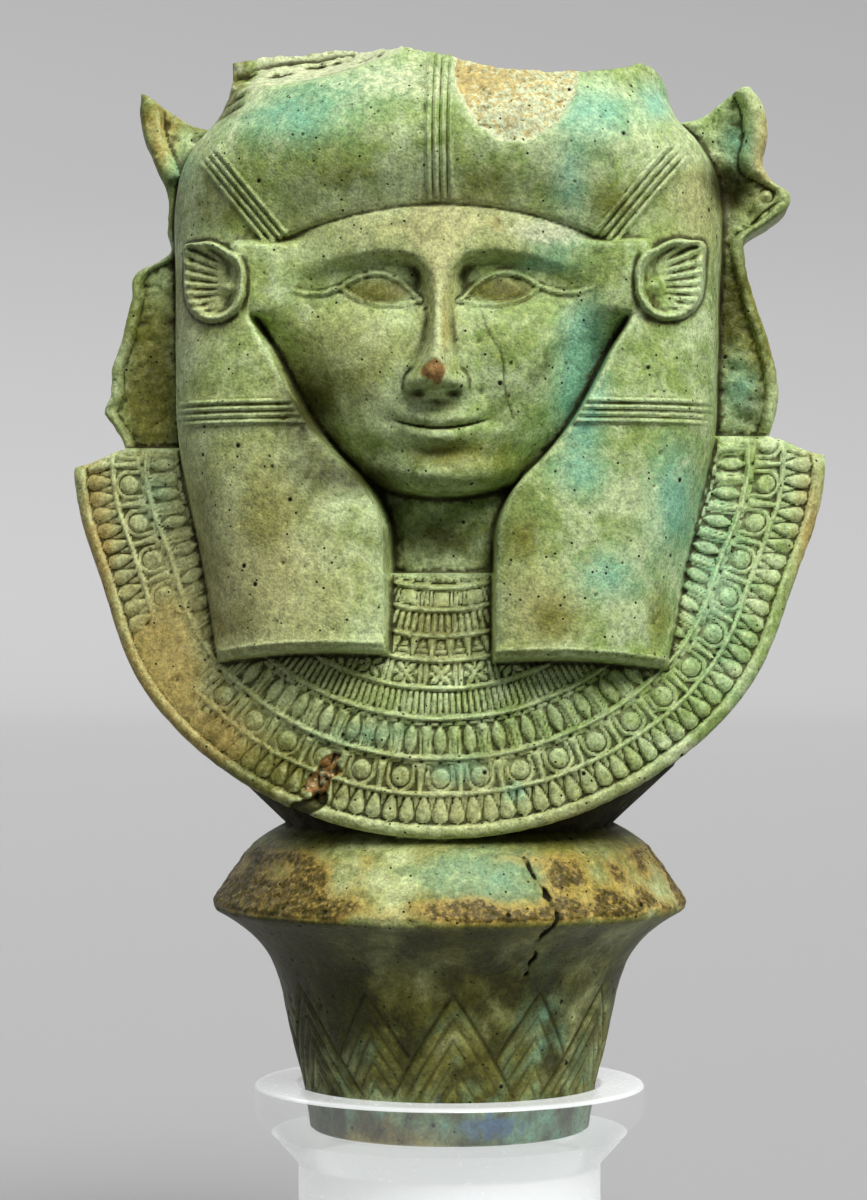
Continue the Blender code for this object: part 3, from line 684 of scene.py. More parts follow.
def break_facet(x, z, depth):
    """The sloping broken face that runs from the left corner to the middle of the top."""
    slope_down = 3.6  # depth lost for each unit of height
    above = z - facet_foot(x)
    rough = 0.9 * noise(x, z, 2.1, 61) + 0.6 * noise(x, z, 0.9, 62) + 0.35 * noise(x, z, 0.45, 63)
    rough += 1.1 * noise(0.4 * x, 2.0 * (z - 0.2 * x), 1.5, 70)
    broken = 17.5 - slope_down * above + rough * smooth_step(above * 2.0)
    return np.minimum(depth, np.maximum(broken, 2.0))


def box_foot(x, z):
    """The foot of the lost box at the left corner of the break: short worn steps."""
    slanted = z - 0.35 * (x + 24.0) + 0.25 * noise(x, z, 1.5, 60)
    steps = sum(ridge(slanted - level, 0.42) for level in BOX_STEPS)
    here = smooth_step((-21.2 - x) / 1.2) * smooth_step((x + 26.6) / 0.4) * smooth_step(z - 112.5)
    return 0.5 * steps * here


def slanted_oval(x, z, centre, half_length, half_width, lean, ragged):
    """How far inside a leaning oval with a ragged edge a place is, 1 at its middle."""
    dx, dz = x - centre[0], z - centre[1]
    along = dx * math.cos(lean) + dz * math.sin(lean)
    across = dz * math.cos(lean) - dx * math.sin(lean)
    return 1.0 - np.hypot(along / half_length, across / half_width) + ragged


def flake_inside(x, z):
    """How far inside the pale flake a place is."""
    ragged = 0.05 * noise(x, z, 2.4, 64) + 0.02 * noise(x, z, 0.7, 59)
    return slanted_oval(x, z, FLAKE, *FLAKE_RADII, 0.0, ragged)


def chip_inside(x, z):
    return slanted_oval(x, z, CHIP, 2.9, 1.5, 0.98, 0.4 * noise(x, z, 0.9, 65))


def hollow_inside(x, z):
    return slanted_oval(x, z, CHIP_HOLLOW, 2.9, 0.95, 0.35, 0.4 * noise(x, z, 0.8, 66))


def nose_chip_inside(x, z):
    return 1.5 - np.hypot(x - NOSE_TIP[0], (z - NOSE_TIP[1]) * 0.9) + 0.3 * noise(x, z, 0.7, 57)


def front_damage(x, z, depth):
    """Takes off the flake, the chips, the crack and the box's foot."""
    flake = smooth_step(flake_inside(x, z) * 12.0)
    open_grain = 0.55 + 0.4 * pits(x, 1.6 * z, 1.2, 0.7, 67) + 0.1 * noise(x, 2.0 * z, 0.7, 58)
    depth = depth - flake * open_grain
    chip = smooth_step(chip_inside(x, z) * 4.0)
    depth -= chip * (0.6 + 0.35 * noise(x, z, 0.6, 68))
    depth -= 1.0 * smooth_step(hollow_inside(x, z) * 3.0)
    nose = smooth_step(nose_chip_inside(x, z) * 2.0)
    depth -= nose * (0.25 + 0.2 * noise(x, z, 0.4, 69))
    depth -= 0.12 * ridge(distance_to_path(x, z, FACE_CRACK, 1.0), 0.22)
    return depth - box_foot(x, z)


def uneven(x, z, seed):
    """Small unevenness of the glaze, with a few open pits."""
    surface = 0.09 * noise(x, z, 3.4, seed) + 0.05 * noise(x, z, 1.2, seed + 1)
    surface += 0.03 * noise(x, z, 0.6, seed + 4)
    return surface - 0.25 * pits(x, z, 3.1, 0.22, seed + 2) - 0.16 * pits(x, z, 1.3, 0.16, seed + 3)


def front_depth(x, z):
    """The whole front, with its damage."""
    depth = front_damage(x, z, relief(x, z, COLLAR_ROWS, len(ROW_LINES)))
    return break_facet(x, z, depth + uneven(x, z, 71))


def back_depth(x, z):
    """The back, whose collar has only its two outer rows."""
    return relief(x, z, COLLAR_ROWS[:2], 2) + uneven(x, z, 81)


# Meshes

def clipped_grid(inside, low, high, cell):
    """Triangles of a square grid, cut off where inside turns negative: points (x, z) and faces."""
    xs = np.arange(low[0], high[0] + cell, cell)
    zs = np.arange(low[1], high[1] + cell, cell)
    x, z = (grid.ravel() for grid in np.meshgrid(xs, zs))
    value = inside(x, z)
    value = np.where(np.abs(value) < 1e-6, -1e-6, value)
    corner = np.arange(len(x)).reshape(len(zs), len(xs))
    a, b = corner[:-1, :-1].ravel(), corner[:-1, 1:].ravel()
    c, d = corner[1:, 1:].ravel(), corner[1:, :-1].ravel()
    pieces = np.concatenate([np.column_stack([a, b, c]), np.column_stack([a, c, d])])
    count = (value[pieces] > 0).sum(axis=1)
    cut_points, cut_faces = {}, []

    def crossing(inner, outer):
        key = (int(inner), int(outer))
        if key not in cut_points:
            share = np.clip(value[inner] / (value[inner] - value[outer]), 0.15, 0.85)
            across = x[inner] + share * (x[outer] - x[inner])
            up = z[inner] + share * (z[outer] - z[inner])
            cut_points[key] = (len(cut_points), (across, up))
        return len(x) + cut_points[key][0]

    for triangle in pieces[(count == 1) | (count == 2)]:
        ring = []
        for start, end in zip(triangle, np.roll(triangle, -1)):
            if value[start] > 0:
                ring.append(int(start))
            if (value[start] > 0) != (value[end] > 0):
                inner, outer = (start, end) if value[start] > 0 else (end, start)
                ring.append(crossing(inner, outer))
        cut_faces += [(ring[0], ring[i], ring[i + 1]) for i in range(1, len(ring) - 1)]

    places = np.array([place for _, place in cut_points.values()])
    points = np.concatenate([np.column_stack([x, z]), places])
    faces = np.concatenate([pieces[count == 3], np.array(cut_faces)])
    used, faces = np.unique(faces, return_inverse=True)
    return points[used], faces.reshape(-1, 3)


def rim_edges(faces):
    """Edges that belong to one face only, in that face's direction."""
    edges = np.concatenate([faces[:, [0, 1]], faces[:, [1, 2]], faces[:, [2, 0]]])
    span = faces.max() + 1
    there, back = edges[:, 0] * span + edges[:, 1], edges[:, 1] * span + edges[:, 0]
    return edges[~np.isin(there, back)]


def two_sided(points, faces, front, back, rows):
    """Closes a front sheet and a back sheet over the same outline with a side wall."""
    count = len(points)
    x, z = points.T
    edges = rim_edges(faces)
    rim = np.unique(edges)
    place = np.zeros(count, int)
    place[rim] = np.arange(len(rim))
    parts = [np.column_stack([x, -front, z]), np.column_stack([x, back, z])]
    levels = [np.arange(count)]
    top = smooth_step((z[rim] - 108.0) / 6.0)
    for row in range(1, rows):
        share = row / rows
        y = -front[rim] * (1 - share) + back[rim] * share
        along = x[rim] + z[rim]
        eaten = 0.4 * np.abs(noise(along, y, 5.0, 91)) + 0.3 * np.abs(noise(along, y, 2.3, 92))
        eaten *= math.sin(math.pi * share) ** 0.3
        parts.append(np.column_stack([x[rim] * (1 - 0.004 * eaten), y, z[rim] - eaten * (0.15 + 2.0 * top)]))
        levels.append(2 * count + (row - 1) * len(rim) + place)
    levels.append(count + np.arange(count))
    start, end = edges.T
    walls = []
    for upper, lower in zip(levels[:-1], levels[1:]):
        walls.append(np.column_stack([upper[end], upper[start], lower[start]]))
        walls.append(np.column_stack([upper[end], lower[start], lower[end]]))
    return np.concatenate(parts), np.concatenate([faces, faces[:, ::-1] + count] + walls)


def turned_faces(rows, sides):
    """Faces of a turned mesh, whose points are its rings and then one under and one above them."""
    ring = np.arange(rows * sides).reshape(rows, sides)
    onward = np.roll(ring, -1, axis=1)
    a, b, c, d = ring[:-1].ravel(), onward[:-1].ravel(), onward[1:].ravel(), ring[1:].ravel()
    under, above = np.full(sides, ring.size), np.full(sides, ring.size + 1)
    return np.concatenate([
        np.column_stack([a, b, c]), np.column_stack([a, c, d]),
        np.column_stack([under, onward[0], ring[0]]), np.column_stack([ring[-1], onward[-1], above])])


def mesh_object(name, points, faces, layers):
    """A smooth mesh of triangles, with named values on its points."""
    mesh = bpy.data.meshes.new(name)
    mesh.vertices.add(len(points))
    mesh.vertices.foreach_set("co", points.astype(np.float32).ravel())
    mesh.loops.add(3 * len(faces))
    mesh.loops.foreach_set("vertex_index", faces.astype(np.int32).ravel())
    mesh.polygons.add(len(faces))
    mesh.polygons.foreach_set("loop_start", np.arange(0, 3 * len(faces), 3, dtype=np.int32))
    mesh.update(calc_edges=True)
    for layer, values in layers.items():
        mesh.attributes.new(layer, "FLOAT", "POINT").data.foreach_set("value", values.astype(np.float32))
    thing = bpy.data.objects.new(name, mesh)
    bpy.context.scene.collection.objects.link(thing)
    return thing


def apply_modifiers(thing):
    """Turns what an object's modifiers make into its own mesh."""
    evaluated = thing.evaluated_get(bpy.context.evaluated_depsgraph_get())
    mesh = bpy.data.meshes.new_from_object(evaluated)
    thing.modifiers.clear()
    old, thing.data = thing.data, mesh
    bpy.data.meshes.remove(old)


def thin_out(thing, triangle_count):
    """Takes faces away where the surface is flattest."""
    modifier = thing.modifiers.new("Fewer faces", "DECIMATE")
    modifier.ratio = min(1.0, triangle_count / len(thing.data.polygons))
    apply_modifiers(thing)


def join_solids(thing, other):
    """Makes one closed solid of two that overlap, and removes the second."""
    modifier = thing.modifiers.new("Join", "BOOLEAN")
    modifier.operation = "UNION"
    modifier.solver = "MANIFOLD"
    modifier.object = other
    apply_modifiers(thing)
    bpy.data.objects.remove(other, do_unlink=True)


# What the surface's colour needs to know about its shape

NEAR_REACH = 0.3
FAR_REACH = 1.3


def blurred(field, weight, cells):
    """A field smoothed over a number of cells, counting only where weight is set."""
    reach = int(3 * cells) + 1
    bell = np.exp(-0.5 * (np.arange(-reach, reach + 1) / cells) ** 2)

    def smooth(values):
        for axis in (0, 1):
            values = np.apply_along_axis(np.convolve, axis, values, bell, mode="same")
        return values

    return smooth(field * weight) / np.maximum(smooth(weight), 1e-9)


def read_field(field, low, cell, u, v):
    """The value of a field on a square grid at places between its points."""
    a = np.clip((u - low[0]) / cell, 0, field.shape[1] - 1.001)
    b = np.clip((v - low[1]) / cell, 0, field.shape[0] - 1.001)
    i, j = a.astype(int), b.astype(int)
    s, t = a - i, b - j
    low_row = field[j, i] * (1 - s) + field[j, i + 1] * s
    high_row = field[j + 1, i] * (1 - s) + field[j + 1, i + 1] * s
    return low_row * (1 - t) + high_row * t


def hollows(depth_at, x, z, depth, cell):
    """How far the surface lies under its surroundings, closely round it and further off.

    Both fade out on steep walls and at the outer rim, where they would smear down the sides.
    """
    xs, zs = np.arange(GRID_LOW[0], GRID_HIGH[0], cell), np.arange(GRID_LOW[1], GRID_HIGH[1], cell)
    grid_x, grid_z = np.meshgrid(xs, zs)
    flat = (grid_x.ravel(), grid_z.ravel())
    weight = (outline(*flat) > 0.0).astype(float).reshape(grid_x.shape)
    field = depth_at(*flat).reshape(grid_x.shape)
    steep = np.hypot(*np.gradient(field, cell))
    kept = smooth_step(outline(x, z) / 0.7) / (1.0 + (read_field(steep, GRID_LOW, cell, x, z) / 3.0) ** 2)
    near = read_field(blurred(field, weight, NEAR_REACH / cell), GRID_LOW, cell, x, z) - depth
    far = read_field(blurred(field, weight, FAR_REACH / cell), GRID_LOW, cell, x, z) - depth
    return near * kept, far * kept


# Values on the head's points that its material reads
# groove holds packed dirt and painted shade; hollow holds grime and painted shade; edge is a painted
# highlight on raised edges
LAYERS = (
    "groove", "hollow", "edge", "warm", "turquoise", "olive", "tan", "stain", "core", "pale", "crust", "blue")
GROOVE_SCALE = 9.0  # how fast dirt and painted shade build up with the depth of a groove, and of a wider hollow
HOLLOW_SCALE = 0.5

# Soft patches of colour on the front, by layer: strength, middle, and reach across and up. Some olive and
# stain patches are painted shade, as marked below.
FRONT_PATCHES = {
    "warm": (
        (0.8, (-20.0, 62.0), (12.0, 17.0)), (0.7, (-2.0, 100.5), (14.0, 3.4)),
        (0.7, (-36.0, 66.0), (8.0, 14.0)), (0.35, (-8.0, 87.0), (10.0, 9.0)),
        (0.7, (0.0, 94.0), (2.0, 10.0)), (0.6, (0.0, 38.0), (28.0, 6.0)),
        (0.9, (35.5, 110.5), (2.2, 6.5)), (0.6, (28.0, 104.0), (4.0, 6.0)),
        (0.7, (40.8, 66.0), (2.2, 12.0)), (0.5, (0.0, 57.0), (6.0, 7.0)),
        (0.6, (11.0, 59.0), (5.0, 5.0)), (0.6, (-27.0, 93.0), (5.0, 6.0)),
    ),
    "turquoise": (
        (0.9, (-16.0, 112.0), (6.5, 3.4)), (0.5, (-9.0, 116.0), (9.0, 2.6)),
        (1.0, (16.5, 112.5), (4.5, 3.6)), (0.9, (14.0, 105.0), (2.0, 3.8)),
        (1.1, (23.4, 114.8), (1.8, 2.4)), (0.6, (12.0, 98.6), (4.0, 1.9)),
        (0.7, (11.0, 96.0), (3.0, 0.9)), (0.8, (16.0, 89.5), (2.8, 3.6)),
        (1.5, (15.0, 82.0), (2.7, 5.6)), (0.7, (15.0, 73.5), (3.5, 3.0)),
        (1.0, (25.0, 71.0), (2.8, 5.6)), (0.8, (18.0, 62.5), (4.0, 3.0)),
        (0.6, (30.0, 62.0), (4.0, 12.0)), (0.7, (2.0, 41.5), (3.6, 1.6)), (0.8, (8.2, 39.2), (1.4, 1.2)),
        (0.6, (-8.0, 45.5), (5.0, 1.6)), (0.9, (32.6, 111.0), (2.0, 3.2)),
        (0.7, (33.0, 84.0), (2.6, 5.0)), (0.7, (-29.6, 108.5), (2.2, 2.4)),
        (0.5, (-33.0, 72.0), (2.4, 5.0)),
    ),
    # Olive: painted shade under the lower lip, on the sunk bib between the lappets and on the side stubs
    # behind the wig; elsewhere stained glaze.
    "olive": (
        (0.6, (-12.0, 105.3), (8.0, 2.6)), (0.7, (-25.0, 103.0), (4.0, 4.6)),
        (0.55, (5.0, 104.7), (4.4, 2.2)), (0.65, (18.5, 103.2), (3.8, 2.8)),
        (0.5, (-8.0, 83.6), (3.2, 2.8)), (0.7, (-19.0, 69.0), (4.6, 6.0)),
        (0.6, (-22.0, 57.5), (4.0, 3.0)), (0.8, (9.2, 66.5), (2.4, 2.4)),
        (0.8, (12.4, 58.0), (3.2, 3.0)), (0.6, (23.6, 58.6), (2.0, 4.2)),
        (0.9, (-19.0, 41.0), (8.0, 4.4)), (0.7, (-33.0, 82.0), (2.6, 7.0)),
        (0.6, (33.0, 92.0), (2.6, 7.0)), (0.5, (0.0, 75.6), (4.0, 1.2)),
        (0.9, (-34.5, 86.0), (3.5, 10.0)), (1.0, (34.5, 88.0), (3.5, 10.0)),
        (0.7, (0.0, 56.5), (6.5, 6.0)), (0.5, (2.0, 40.5), (26.0, 4.0)),
        (0.4, (-13.0, 82.0), (3.2, 6.5)), (0.6, (4.0, 75.0), (7.0, 2.6)),
    ),
    "tan": (
        (1.2, (-31.5, 51.0), (6.0, 9.0)), (1.0, (-39.6, 64.0), (2.4, 13.0)),
        (0.7, (-24.0, 45.0), (5.0, 3.6)), (0.8, (40.6, 64.0), (1.6, 13.0)),
        (0.8, (-32.4, 112.4), (1.8, 4.0)), (0.6, (35.8, 110.0), (1.4, 4.6)),
        (0.5, (0.6, 89.0), (0.8, 5.0)), (0.5, (6.3, 100.3), (1.0, 1.4)),
    ),
    # Stain: painted shade on the neck under the chin, on the left cheek and jaw that turn from the light, on
    # the bib and on the side stubs; elsewhere stains.
    "stain": (
        (0.9, (10.2, 83.7), (1.0, 1.0)), (0.9, (0.0, 66.5), (7.5, 3.6)), (0.8, (11.5, 85.7), (0.8, 1.3)),
        (0.6, (13.2, 88.0), (0.8, 1.3)), (1.5, (31.2, 106.2), (2.6, 2.8)),
        (0.7, (6.4, 101.2), (0.4, 1.3)), (1.1, (-14.5, 80.5), (3.4, 7.5)),
        (1.0, (-8.0, 73.2), (6.5, 2.4)), (0.6, (-26.0, 60.0), (2.2, 16.0)),
        (0.5, (-29.0, 92.0), (2.2, 8.0)), (0.4, (0.0, 55.0), (6.0, 6.0)),
        (0.5, (-34.0, 84.0), (2.4, 6.0)), (0.8, (32.0, 94.0), (2.2, 8.0)),
        (0.7, (34.0, 80.5), (3.5, 3.0)), (0.5, (-22.0, 41.0), (6.0, 2.6)),
        (0.5, (-30.4, 104.0), (1.4, 5.0)), (0.4, (31.5, 113.0), (2.0, 2.0)),
        (0.35, (10.0, 71.8), (3.5, 3.0)),
    ),
    "pale": (
        (0.75, (11.5, 99.6), (4.0, 1.4)), (0.4, (-3.0, 116.0), (9.0, 2.5)),
        (1.1, (27.0, 43.4), (0.9, 0.9)), (1.1, (-11.6, 58.2), (0.3, 0.3)),
    ),
    "core": (
        (0.65, (15.9, 64.2), (0.9, 0.8)), (0.3, (6.3, 99.8), (0.8, 1.0)),
    ),
}


def soft_patches(x, z, patches):
    """Every layer, at 0 apart from its patches."""
    layers = {name: 0.0 * x for name in LAYERS}
    for layer, rows in patches.items():
        for strength, middle, reach in rows:
            layers[layer] += strength * mound(x, z, middle, reach)
    return layers


def front_layers(x, z):
    """Where each colour lies on the front, from 0 to about 1."""
    layers = soft_patches(x, z, FRONT_PATCHES)
    layers["stain"] += 0.9 * ridge(distance_to_path(x, z, FACE_CRACK, 1.0), 0.3)
    layers["stain"] += 2.0 * smooth_step(hollow_inside(x, z) * 3.0)
    layers["core"] += smooth_step(chip_inside(x, z) * 4.0) + 0.85 * smooth_step(nose_chip_inside(x, z) * 2.0)
    facet = smooth_step((z - facet_foot(x)) / 0.5) * (x < 2.0) * smooth_step((x + 22.4) / 1.2)
    layers["pale"] += np.maximum(smooth_step(flake_inside(x, z) * 14.0), 0.55 * facet)
    eyes = smooth_step(1.5 * mound(np.abs(x), z, (6.5, 93.4), (3.6, 1.35)))
    nostrils = mound(nose_side(x, z), z, (1.9, 82.3), (0.9, 0.6))
    # Darker eyeballs, partly stain and partly painted shade; darker in the nostrils.
    layers["olive"] += 0.9 * eyes
    layers["stain"] += 0.5 * eyes + 1.3 * nostrils
    layers["olive"] += 0.8 * smooth_step((-21.6 - x) / 1.2) * smooth_step((z - 112.5) / 1.0)
    return layers


def back_layers(x, z):
    """Soft clouds on the back, which is otherwise even."""
    layers = soft_patches(x, z, {})
    layers["turquoise"] += np.clip(noise(x, z, 14.0, 101), 0.0, 1.0)
    layers["olive"] += np.clip(noise(x, z, 12.0, 102), 0.0, 1.0)
    layers["warm"] += np.clip(0.4 + noise(x, z, 16.0, 103), 0.0, 1.0)
    return layers


def dirt_and_shade_layers(near, far, clean):
    """Dirt and painted shade in grooves and wider hollows, and a painted highlight on raised edges, from how
    far the surface lies under its surroundings.
    """
    return {"groove": 1.0 - np.exp(-GROOVE_SCALE * np.clip(near, 0.0, 1.0) * (1.0 - 0.6 * clean)),
            "hollow": 1.0 - np.exp(-HOLLOW_SCALE * np.clip(far, 0.0, 4.0) * (1.0 - clean)),
            "edge": 1.0 - np.exp(-GROOVE_SCALE * np.clip(-near, 0.0, 1.0))}


def carved_relief(cell, wall_rows):
    """The mask, wig, collar and side stubs as one closed mesh."""
    points, faces = clipped_grid(outline, GRID_LOW, GRID_HIGH, cell)
    x, z = points.T
    front, back = front_depth(x, z), back_depth(x, z)
    corners, sides = two_sided(points, faces, front, back, wall_rows)
    first, second = front_layers(x, z), back_layers(x, z)
    first.update(dirt_and_shade_layers(*hollows(front_depth, x, z, front, cell), first["pale"]))
    second.update(dirt_and_shade_layers(*hollows(back_depth, x, z, back, 2.0 * cell), 0.0))
    wall_x, wall_y, wall_z = corners[2 * len(points):].T
    wall = soft_patches(wall_x, wall_z, {})
    broken = smooth_step((wall_z - 111.0) / 5.0)
    wall["warm"] += 0.4
    wall["olive"] += 0.4 + 0.5 * noise(wall_y, wall_z, 5.0, 93)
    wall["pale"] += 0.9 * broken
    wall["tan"] += 0.5 * broken * noise(wall_x, wall_y, 4.0, 94)
    wall["stain"] += broken * np.clip(1.3 * noise(wall_x, wall_y, 1.6, 95) - 0.2, 0.0, 1.0)
    layers = {name: np.concatenate([first[name], second[name], wall[name]]) for name in LAYERS}
    return mesh_object("relief_part", corners * UNIT + np.array([0.0, 0.0, SEAT]), sides, layers)


# Capital

bell_flare = curve_through(
    (0.0, 0.0), (5.7, 0.09), (8.7, 0.16), (13.8, 0.265), (17.3, 0.34), (20.1, 0.455), (22.8, 0.68),
    (24.6, 0.92), (25.0, 0.985), (25.4, 1.0),
)
crown_fall = curve_through(
    (25.4, 1.0), (25.9, 0.995), (26.2, 0.98), (27.4, 0.88), (30.1, 0.66), (32.8, 0.37), (34.0, 0.14),
    (CROWN_TOP_Z, 0.0),
)
CAPITAL_CRACK = path_through(
    ((9.3, 31.9), (9.9, 30.5), (10.7, 29.3), (12.6, 25.8), (10.7, 23.4), (10.2, 21.1), (9.3, 19.2)), 30)


def capital_radius(z):
    """The plain turned form: the flared bell, the crown over it and the neck."""
    bell = STUB_RADIUS + (RIM_RADIUS - STUB_RADIUS) * bell_flare(z)
    crown = NECK_RADIUS + (RIM_RADIUS - NECK_RADIUS) * crown_fall(z)
    radius = np.where(z < RIM_Z, bell, crown)
    return np.where(z > CROWN_TOP_Z, NECK_RADIUS, radius)


def neck_spread(z):
    """How much wider than deep the neck is, where it runs up into the collar's under edge."""
    return 1.0 + NECK_SPREAD * np.clip(z - NECK_SPREAD_LOW, 0.0, NECK_SPREAD_HEIGHT)


def petal_lines(turn, z):
    """Incised outlines of pointed sepals on the bell, each with chevrons inside it."""
    spacing = 2.0 * math.pi / PETALS
    place = (turn - PETAL_TURN) / spacing
    nearest = np.round(place)
    run = PETAL_RADIUS * spacing
    result, covered = np.zeros(z.shape), np.zeros(z.shape, bool)
    for layer in (0, 1):
        for step in (0, -1, 1):
            index = nearest + step
            mine = (index % 2 == layer) & ~covered
            inside = (PETAL_TOP_Z - z) * PETAL_SLOPE - np.abs(place - index) * run
            inside /= math.hypot(1.0, PETAL_SLOPE)
            lines = ridge(inside - 0.3, 0.6)
            for level in (1.7, 3.0, 4.3, 5.6):
                lines = np.maximum(lines, 0.8 * ridge(inside - level, 0.5))
            result = np.where(mine & (inside > -0.1), np.maximum(result, lines), result)
            covered |= mine & (inside > 0.0)
    return result * (z < PETAL_TOP_Z + 0.5) * smooth_step((z - 4.6) / 1.0)


def carved_capital(sides, rows):
    """The papyrus capital as a closed turned mesh."""
    low_half = np.linspace(0.0, RIM_Z, rows // 2)
    high_half = np.linspace(RIM_Z, 34.9, rows // 2)[1:]
    neck = np.linspace(35.3, NECK_TOP_Z, 16)
    level = np.concatenate([[0.0, 0.25], low_half[low_half > 0.5], high_half, neck])
    turn = 2.0 * math.pi * np.arange(sides) / sides
    angle, z = (grid.ravel() for grid in np.meshgrid(turn, level))
    radius = capital_radius(z)
    radius = np.where(z < 0.1, radius - 0.3, radius)
    around = angle * 20.0
    x, front = radius * np.cos(angle), np.sin(angle) < 0.0
    lines = petal_lines(angle, z) * (z > 1.0)
    astray = 0.3 * noise(x, z, 0.9, 109), 0.2 * noise(x, z, 0.7, 110)
    crack = ridge(distance_to_path(x + astray[0], z + astray[1], CAPITAL_CRACK, 1.5), 0.36) * front
    crack *= 0.2 + 0.8 * smooth_step(0.55 + 1.5 * noise(x, z, 0.9, 111))
    crown = smooth_step((z - RIM_Z + 0.6) / 1.2) * smooth_step((33.5 - z) / 2.0)
    cloud = 0.5 + 0.5 * noise(around, z, 7.0, 112) + 0.45 * noise(around, z, 2.5, 113)
    middle = mound(x, z, (5.0, 30.5), (8.5, 3.6)) * front
    edge_crust = ridge(z - RIM_Z - 1.2, 2.4)
    crust = crown * np.clip(1.15 * cloud + 0.35 * edge_crust - 1.1 * middle, 0.0, 1.0)
    grit = 0.2 * noise(around, z, 0.55, 114) + 0.14 * noise(around, z, 0.3, 115)
    chipped = 0.3 * np.abs(noise(around, 0.0 * z, 1.3, 116)) * ridge(z - RIM_Z, 0.8)
    carving = 0.05 * noise(around, z, 3.0, 117) + crust * grit - 0.26 * lines - 0.9 * crack - chipped
    carving -= 0.22 * pits(around, z, 2.4, 0.3, 118) + 0.12 * pits(around, z, 1.0, 0.3, 119)
    depth = np.where((z > 0.1) & (z < NECK_TOP_Z - 0.1), carving, 0.0)
    carved = radius + np.minimum(depth, 0.15)
    corners = np.column_stack([neck_spread(z) * carved * np.cos(angle), carved * np.sin(angle), z])
    caps = np.array([[0.0, 0.0, 0.0], [0.0, 0.0, NECK_TOP_Z]])
    in_cup = smooth_step((4.6 - z) / 1.2)
    sepals = smooth_step((PETAL_TOP_Z - z) / 4.0)
    values = soft_patches(x, z, {})
    values["groove"] = 0.8 * lines + 2.4 * crack + 0.9 * crust * np.clip(-4.0 * grit, 0.0, 1.0)
    # Painted shade under the collar: on the neck and the top of the crown.
    values["groove"] += 0.3 * smooth_step((z - 33.5) / 1.0)
    values["hollow"] = 1.4 * smooth_step((z - 32.8) / 1.4)
    values["turquoise"] = 0.6 * middle + 0.7 * in_cup + 0.6 * mound(x, z, (11.0, 15.0), (2.6, 7.0)) * front
    values["turquoise"] += 0.4 * sepals * smooth_step(0.5 + noise(around, z, 1.6, 122))
    values["warm"] = 0.5 - 0.2 * middle
    values["olive"] = 0.9 * cloud + 0.35 + 0.1 * (z < RIM_Z)
    values["tan"] = 1.2 * in_cup * smooth_step((2.2 - z) / 0.4) * mound(x, 0.0 * z, (-6.0, 0.0), (7.5, 1.0))
    # Brown stain on the bell, deepened with painted shade under the overhang of the crown.
    values["stain"] = 0.6 + 0.4 * noise(around, z, 6.0, 121) + 0.4 * noise(around, z, 1.8, 123)
    values["stain"] += 0.3 * in_cup
    values["stain"] *= smooth_step((RIM_Z + 0.5 - z) / 1.5)
    # Darker towards the left, most on the bell: painted shade on the side away from the key light.
    values["stain"] += 0.15 + smooth_step((-x - 4.0) / 16.0) * (0.25 + 0.45 * (z < RIM_Z))
    values["stain"] *= 1.0 - 0.2 * in_cup - 0.4 * sepals * smooth_step(0.3 + noise(around, z, 1.6, 122))
    values["crust"] = np.clip(1.7 * crust - 0.3, 0.0, 1.0)
    values["blue"] = 1.6 * in_cup * mound(x, z, (5.6, 2.2), (3.8, 0.9)) * front
    values["blue"] += 0.4 * smooth_step((9.0 - z) / 4.0) * smooth_step(noise(around, z, 1.8, 120))
    layers = {name: np.concatenate([values[name], [0.0, 0.0]]) for name in LAYERS}
    points = np.concatenate([corners, caps]) * UNIT + np.array([0.0, 0.0, SEAT])
    return mesh_object("capital_part", points, turned_faces(len(level), sides), layers)


# Materials

def add_node(tree, kind, inputs, **settings):
    """Adds a node with its settings; each input is a value, or a (node, output) pair to link."""
    node = tree.nodes.new(kind)
    for name, value in settings.items():
        setattr(node, name, value)
    for socket, value in inputs.items():
        if isinstance(value, tuple) and isinstance(value[0], bpy.types.Node):
            tree.links.new(value[0].outputs[value[1]], node.inputs[socket])
        else:
            node.inputs[socket].default_value = value
    return node


def new_material(name, **values):
    """A material with one Principled shader, whose even values are set on its own sockets."""
    material = bpy.data.materials.new(name)
    material.use_nodes = True
    tree = material.node_tree
    shader = next(node for node in tree.nodes if node.type == "BSDF_PRINCIPLED")
    for socket, value in values.items():
        shader.inputs[socket.replace("_", " ")].default_value = value
    return material, tree, shader


def per_metre(size_mm):
    """The scale of a pattern whose features are this size."""
    return 1.0 / (size_mm * MM)


# Clouds in the glaze: name, size in mm, detail, distortion. The grain is drawn twice as coarse as real
# sand grains, so that it shows.
CLOUDS = (
    ("broad", 13.0, 4.0, 0.8), ("middle", 3.2, 5.0, 0.5), ("fine", 0.9, 4.0, 0.2),
    ("speck", 0.55, 2.0, 0.0), ("grain", 0.3, 3.0, 0.0),
)

